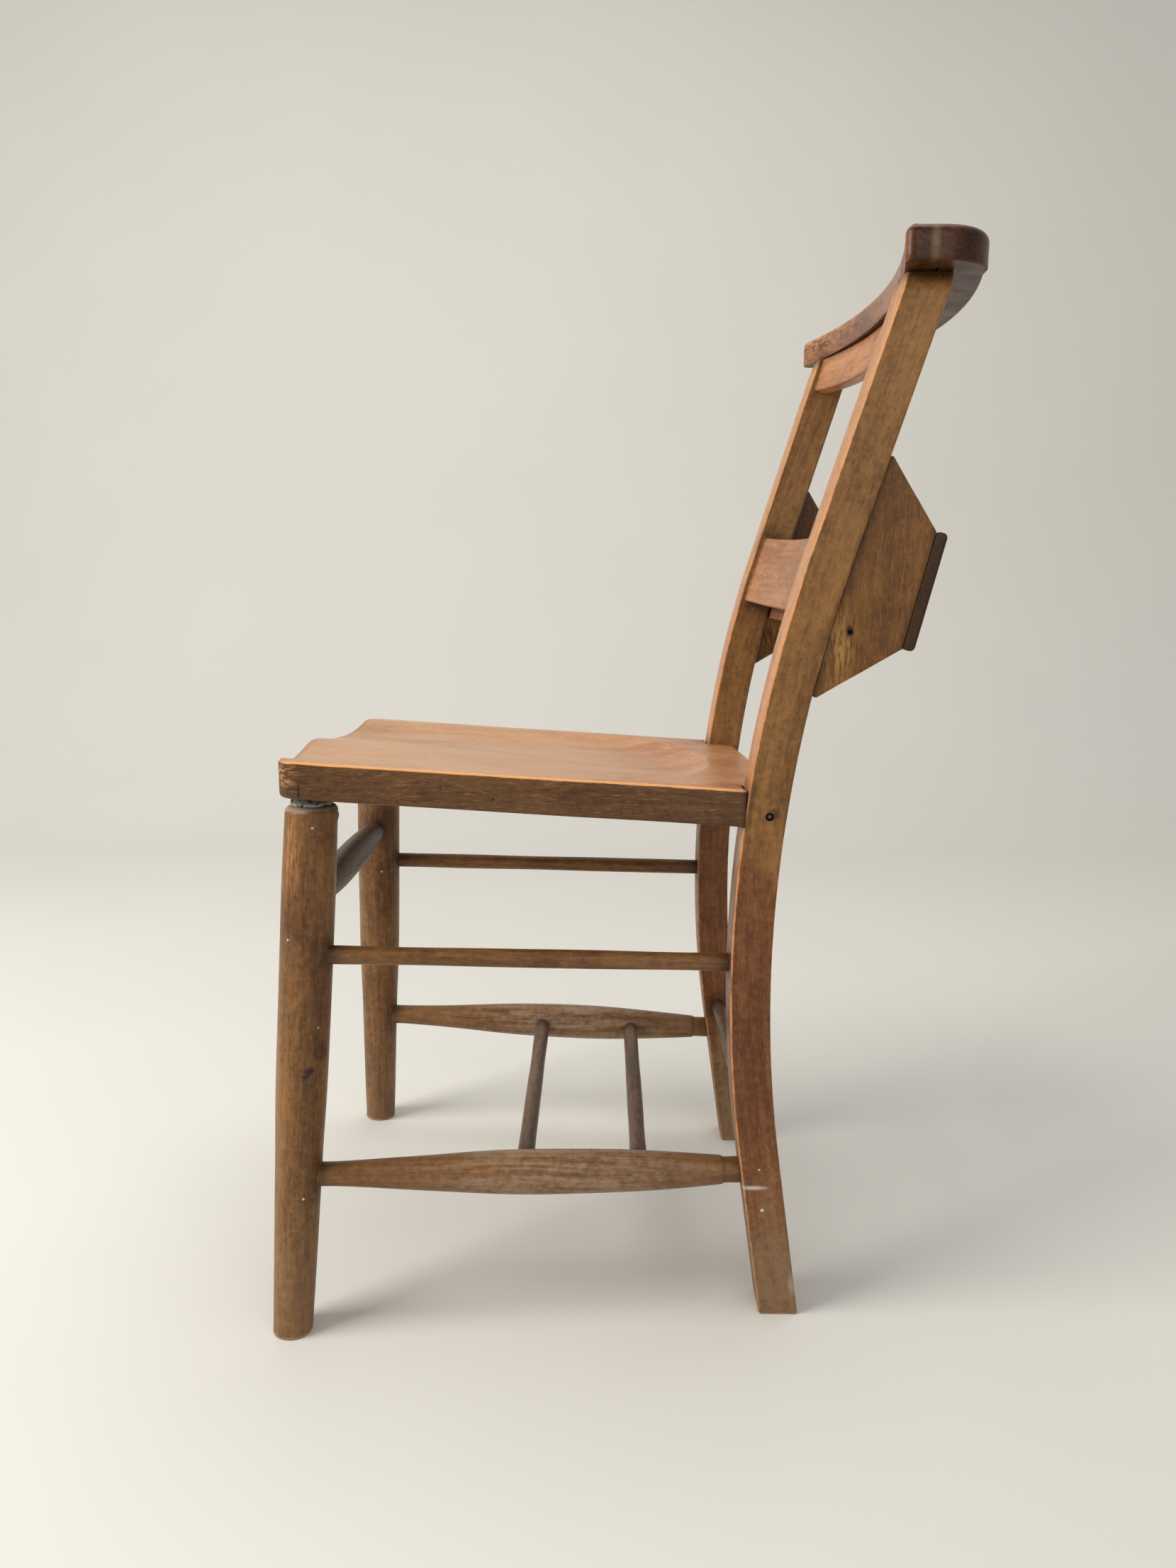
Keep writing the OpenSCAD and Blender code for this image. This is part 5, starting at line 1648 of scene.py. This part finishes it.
def in_box_behind(points):
    """How far points lie behind the front face of the box's back board: in_box() the other way round."""
    y, z = points[..., 1] - BOX_ORIGIN_Y, points[..., 2] - BOX_ORIGIN_Z
    return y * cos(BOX_LEAN) - z * sin(BOX_LEAN)


BOX_BACK_DEPTH = 0.0095
BOX_FLOOR_THICK = 0.0120
BOX_FLOOR_DEEP = 0.0545


class CHAIR_OT_book_box(bpy.types.Operator):
    """Adds the four boards of the book box"""

    bl_idname = "chapel_chair.book_box"
    bl_label = "Book box"

    def execute(self, context):
        """Makes the sides, the back and the floor."""
        self.sides()
        self.back()
        self.floor()
        return DONE

    def sides(self):
        """Four-sided panels: the front follows the post's back line, and the rear the leaning back board."""
        e, t = edges(), tones()
        low, high = box("book_box_side_left")
        panel = high[0] - low[0]
        z = np.array([low[2] + 0.0003, high[2] - 0.0003])
        line = post_y(z, POST_DEPTH)
        rear_low, rear_high = in_box(0.0, 0.0, -BOX_BACK_HEIGHT)[1:], in_box(0.0, 0.0, -0.0005)[1:]
        outline = rounded_corners([(line[0], z[0]), rear_low, rear_high, (line[1], z[1])])
        # The straight front is bowed onto the post's own line; the bow fades 30 mm behind it.
        chord = line[0] + (line[1] - line[0]) * (outline[:, 1] - z[0]) / (z[1] - z[0])
        bow = post_y(outline[:, 1], POST_DEPTH) + 0.0002 - chord
        outline[:, 0] += bow * np.clip(1.0 - (outline[:, 0] - chord) / 0.030, 0.0, 1.0)

        def soil(points):
            """Dirt along the post, which also paints the shadow line there, and along the back board."""
            behind = points[..., 1] - post_y(points[..., 2], POST_DEPTH)
            rear = in_box_behind(points)
            return np.maximum(0.75 * np.exp(-((behind / 0.004) ** 2)), 0.6 * np.exp(-((rear / 0.003) ** 2)))

        for side, tag in SIDES:

            def place(u, v, w, side=side):
                """The plan's u and v are y and z, and w runs through the panel's thickness."""
                return np.stack([side * (low[0] + 0.0001 + w * (panel - 0.0002) / panel), u, v], -1)

            rings, marks, plan, up = slab(outline, panel, e.panel, place, soil)
            grain = np.stack([plan[..., 0], up, plan[..., 1]], -1)
            x = side * high[0]
            spots = (
                # The yellow streaks below the nail, and the stain round it.
                spot(t.streak, (x, 0.1668, 0.5630), 0.0090, 0.0120, 0.62, (0.3, 1.2, 0.45)),
                spot(t.grime, (x, 0.1735, 0.5751), 0.0026, 0.0009, 0.85, (0.3, 1.1, 0.60)),
            )
            finish = wood(
                "box_side_wood_" + tag, t.box_pale, t.box_dark, 35.0 + side, gloss=0.40, rub=0.20,
                figure=0.5, spots=spots,
            )
            mesh = tube_piece("box_side_" + tag, rings, grain, marks)
            add_piece("book_box_side_" + tag + "_panel", mesh, finish, "box_wood", "book_box_side_" + tag)

    def back(self):
        """A leaning board: a rounded section carried along x, whose ends close by a quarter circle."""
        e, t = edges(), tones()
        half = BACK_HIGH[0]
        inset, reach = end_rounding(6, 0.0022)
        run = np.linspace(-half + 0.0022, half - 0.0022, 130)
        x = np.concatenate([np.full(2, -half), -half + reach[:-1], run, half - reach[-2::-1], np.full(2, half)])
        shrink = np.concatenate([[0.0042, 0.0032], inset[:-1], np.zeros(130), inset[-2::-1], [0.0032, 0.0042]])
        corner = np.maximum(e.box_back - shrink, 0.0003)
        size = (BOX_BACK_DEPTH - 2.0 * shrink, BOX_BACK_HEIGHT - 2.0 * shrink)
        u, v, edge = rounded_section(*size, corner, 14)
        across = np.broadcast_to(x[:, None], u.shape)
        rings = in_box(across, u + BOX_BACK_DEPTH / 2.0 + 0.0001, v - BOX_BACK_HEIGHT / 2.0)
        grain = np.stack([u, v, across], -1)
        end = np.exp(-(((half - np.abs(x)) / 0.0015) ** 2))[:, None]
        marks = marks_of(np.maximum(edge * 0.8, end * 0.5), 0.5 * (u < -0.0035), end * 0.9)
        pale, dark = shade(tuple(t.box_pale), 0.45), shade(tuple(t.box_dark), 0.45)
        finish = wood("box_back_wood", pale, dark, 39.0, gloss=0.42, rub=0.15, figure=0.5)
        mesh = tube_piece("box_back", rings, grain, marks)
        add_piece("book_box_back_board", mesh, finish, "box_wood", "book_box_back")

    def floor(self):
        """A thin board square to the back board: a rounded section carried along x."""
        t = tones()
        low, high = box("book_box_floor")
        x = np.linspace(low[0] + 0.0002, high[0] - 0.0002, 120)
        u, v, edge = rounded_section(np.full(120, BOX_FLOOR_DEEP - 0.0004), BOX_FLOOR_THICK, 0.0010, 10)
        across = np.broadcast_to(x[:, None], u.shape)
        middle = -BOX_BACK_HEIGHT - 0.0010 + BOX_FLOOR_THICK / 2.0
        rings = in_box(across, u - BOX_FLOOR_DEEP / 2.0, v + middle)
        grain = np.stack([u, v, across], -1)
        marks = marks_of(edge * 0.6, 0.35 * (v > 0.004), 0.0)
        pale, dark = shade(tuple(t.rail_pale), 0.75), shade(tuple(t.rail_dark), 0.7)
        finish = wood("box_floor_wood", pale, dark, 41.0, gloss=0.50, rub=0.2, figure=0.8)
        mesh = tube_piece("box_floor", rings, grain, marks)
        add_piece("book_box_floor_board", mesh, finish, "box_wood", "book_box_floor")


# Radii of a head's circles, as shares of its radius, and their heights, as shares of how proud it stands.
HEAD_RADII = np.array([0.15, 0.7, 1.0, 1.0, 0.93, 0.78, 0.55, 0.3, 0.08])
HEAD_RISE = np.array([-3.0, -3.0, -2.5, 0.0, 0.75, 1.0])


def fixing_head(centre, facing, radius, proud, dished=0.35):
    """A low round head: circles that shrink as they rise, with a dished middle.

    Each circle's points are the centre, plus its height along the way the head
    faces, plus its radius times the cosine and sine of the turn across it.
    """
    facing = np.asarray(facing, float) / np.linalg.norm(facing)
    across = np.cross(facing, [0.0, 0.31, 0.95])
    across /= np.linalg.norm(across)
    other = np.cross(facing, across)
    angle = TURN * np.arange(32) / 32
    circle = np.cos(angle)[:, None] * across + np.sin(angle)[:, None] * other
    middle = [1.0 - dished * 0.6, 1.0 - dished, 1.0 - dished]
    r, h = radius * HEAD_RADII, proud * np.concatenate([HEAD_RISE, middle])
    return np.asarray(centre, float) + h[:, None, None] * facing + r[:, None, None] * circle


class CHAIR_OT_fixings(bpy.types.Operator):
    """Adds the rusted screw and nail heads"""

    bl_idname = "chapel_chair.fixings"
    bl_label = "Screws and nails"

    def execute(self, context):
        """Places each kind of head and joins its heads into one mesh, their numbers counted on."""
        iron = rusted_iron()
        low, high = box("seat_screws")
        screw = (low + high) / 2.0
        screw_x = float(post_outer(screw[2]))
        low, high = box("box_floor_nails")
        nail, nail_x = (low + high) / 2.0, high[0]
        back_x = box("book_box_side_left")[0][0] + 0.0050
        backwards = in_box(0.0, 1.0, 0.0) - in_box(0.0, 0.0, 0.0)
        groups = {
            "seat_screws": [
                fixing_head([side * screw_x, screw[1], screw[2]], [side, 0, 0], 0.0034, 0.00025, 1.2)
                for side in (LEFT, RIGHT)
            ],
            "box_floor_nails": [
                fixing_head([side * nail_x, nail[1], nail[2]], [side, 0, 0], 0.0021, 0.0002)
                for side in (LEFT, RIGHT)
            ],
            "box_back_nails": [
                fixing_head(in_box(side * back_x, 0.0096, -BOX_BACK_HEIGHT * part), backwards, 0.0028, 0.0003)
                for side in (LEFT, RIGHT)
                for part in (0.25, 0.75)
            ],
        }
        for node, heads in groups.items():
            points = [with_ends(rings) for rings in heads]
            quads, triangles = tube_arrays(heads[0])
            first = np.arange(len(heads))[:, None, None] * len(points[0])
            points = np.concatenate(points)
            mesh = put_mesh(
                node, points, (quads + first).reshape(-1, 4), (triangles + first).reshape(-1, 3),
                points, points * 0.0,
            )
            add_piece(node + "_heads", mesh, iron, "dark_iron", node)
        return DONE


# The backdrop's bend, in metres, and how far behind the chair it begins.
BACKDROP_BEND = 0.9
BACKDROP_START = 1.5


class CHAIR_OT_stage(bpy.types.Operator):
    """Adds the pale floor, the lamps and the camera"""

    bl_idname = "chapel_chair.stage"
    bl_label = "Floor, lamps and camera"

    def execute(self, context):
        """Sets up the floor, the light and the view."""
        self.floor(context.scene)
        self.light(context.scene)
        self.view(context.scene)
        return DONE

    def floor(self, scene):
        """A level floor that turns up through a quarter circle into an upright backdrop."""
        turn = np.radians(np.linspace(0.0, 90.0, 24))
        bend, back = BACKDROP_BEND, BACKDROP_START
        run = np.concatenate([[4.0, 2.0, 0.5], -back - bend * np.sin(turn), [-back - bend]])
        rise = np.concatenate([np.zeros(3), bend - bend * np.cos(turn), [4.0]])
        width = np.linspace(-5.0, 5.0, 12)
        points = np.stack(np.broadcast_arrays(run[:, None], width, rise[:, None]), -1)
        m, n = points.shape[:2]
        i, j = np.meshgrid(np.arange(m - 1), np.arange(n - 1), indexing="ij")
        quads = np.stack([(i + 1) * n + j, (i + 1) * n + j + 1, i * n + j + 1, i * n + j], -1).reshape(-1, 4)
        flat = points.reshape(-1, 3)
        mesh = put_mesh("floor", flat, quads, NO_TRIANGLES, flat, flat * 0.0)
        floor = bpy.data.objects.new("floor", mesh)
        scene.collection.objects.link(floor)
        pale = tuple(stage().floor)
        look = Nodes("floor_paper")
        grain = look.noise(look.objects(), 3.0, 2.0)[0]
        tint = look.mix(look.ramp(grain, 0.3, 0.7), shade(pale, 0.985), pale)
        look.tree.links.new(tint, look.shader.inputs["Base Color"])
        look.shader.inputs["Roughness"].default_value = 0.85
        look.shader.inputs["Specular IOR Level"].default_value = 0.2
        mesh.materials.append(look.material)

    def light(self, scene):
        """Three large soft lamps that look at the chair's middle, and an even light from all round."""
        s = stage()
        middle = Vector((0.0, 0.0, 0.45))
        lamps = (
            ("window", (0.9, -2.3, 1.9), 1.5, s.key, (1.0, 0.98, 0.95)),
            ("beside", (2.6, 0.9, 1.5), 1.8, s.fill, (1.0, 0.99, 0.98)),
            ("above", (-0.4, 0.2, 2.7), 1.6, s.fill * 1.3, (1.0, 1.0, 1.0)),
        )
        for name, place, size, power, warmth in lamps:
            light = bpy.data.lights.new(name, "AREA")
            light.shape, light.size, light.energy, light.color = "SQUARE", size, power, warmth
            holder = bpy.data.objects.new(name, light)
            holder.location = place
            holder.rotation_euler = (middle - Vector(place)).to_track_quat("-Z", "Y").to_euler()
            scene.collection.objects.link(holder)
        world = bpy.data.worlds.new("room")
        world.use_nodes = True
        background = world.node_tree.nodes["Background"]
        background.inputs["Color"].default_value = (1.0, 1.0, 1.0, 1.0)
        background.inputs["Strength"].default_value = s.sky
        scene.world = world
        scene.view_settings.view_transform = "Standard"

    def view(self, scene):
        """The camera looks across the chair: its way ahead is turned by the yaw and tilted by the pitch."""
        s = stage()
        data = bpy.data.cameras.new("view")
        data.sensor_fit, data.sensor_height, data.lens = "VERTICAL", 36.0, s.lens
        data.clip_start, data.clip_end = 0.05, 30.0
        camera = bpy.data.objects.new("view", data)
        scene.collection.objects.link(camera)
        cy, sy, cp, sp = np.cos(s.yaw), np.sin(s.yaw), np.cos(s.pitch), np.sin(s.pitch)
        level, right = np.array([-cy, -sy, 0.0]), np.array([-sy, cy, 0.0])
        straight_up = np.array([0.0, 0.0, 1.0])
        ahead, up = cp * level - sp * straight_up, sp * level + cp * straight_up
        turned_frame = np.column_stack([right, up, -ahead, (s.camera_x, s.camera_y, s.camera_z)])
        camera.matrix_world = Matrix([*turned_frame, [0.0, 0.0, 0.0, 1.0]])
        scene.camera = camera


OPERATORS = (
    CHAIR_OT_seat,
    CHAIR_OT_front_legs,
    CHAIR_OT_putty,
    CHAIR_OT_rear_posts,
    CHAIR_OT_crest,
    CHAIR_OT_back_rails,
    CHAIR_OT_side_stretchers,
    CHAIR_OT_front_stretcher,
    CHAIR_OT_plain_stretchers,
    CHAIR_OT_book_box,
    CHAIR_OT_fixings,
    CHAIR_OT_stage,
)


class CHAIR_PT_panel(bpy.types.Panel):
    """Buttons for each piece of the chair, and its settings"""

    bl_idname = "CHAIR_PT_panel"
    bl_label = "Chapel chair"
    bl_space_type = "VIEW_3D"
    bl_region_type = "UI"
    bl_category = "Chapel chair"

    def draw(self, context):
        """Lists every button, then every setting."""
        for operator in OPERATORS:
            self.layout.operator(operator.bl_idname)
        for group in (edges(), tones(), stage()):
            column = self.layout.column()
            for name in group.__annotations__:
                column.prop(group, name)


GROUPS = (
    ("chapel_chair_edges", ChapelChairEdges),
    ("chapel_chair_tones", ChapelChairTones),
    ("chapel_chair_stage", ChapelChairStage),
)


def register():
    """Adds the settings, the operators and the panel to Blender."""
    for name, group in GROUPS:
        bpy.utils.register_class(group)
        setattr(bpy.types.Scene, name, bpy.props.PointerProperty(type=group))
    for operator in OPERATORS:
        bpy.utils.register_class(operator)
    bpy.utils.register_class(CHAIR_PT_panel)


def unregister():
    """Takes them out again, in the opposite order."""
    bpy.utils.unregister_class(CHAIR_PT_panel)
    for operator in reversed(OPERATORS):
        bpy.utils.unregister_class(operator)
    for name, group in reversed(GROUPS):
        delattr(bpy.types.Scene, name)
        bpy.utils.unregister_class(group)


def main():
    """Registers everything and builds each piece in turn."""
    register()
    for operator in OPERATORS:
        group, name = operator.bl_idname.split(".")
        getattr(getattr(bpy.ops, group), name)()


if __name__ == "__main__":
    main()
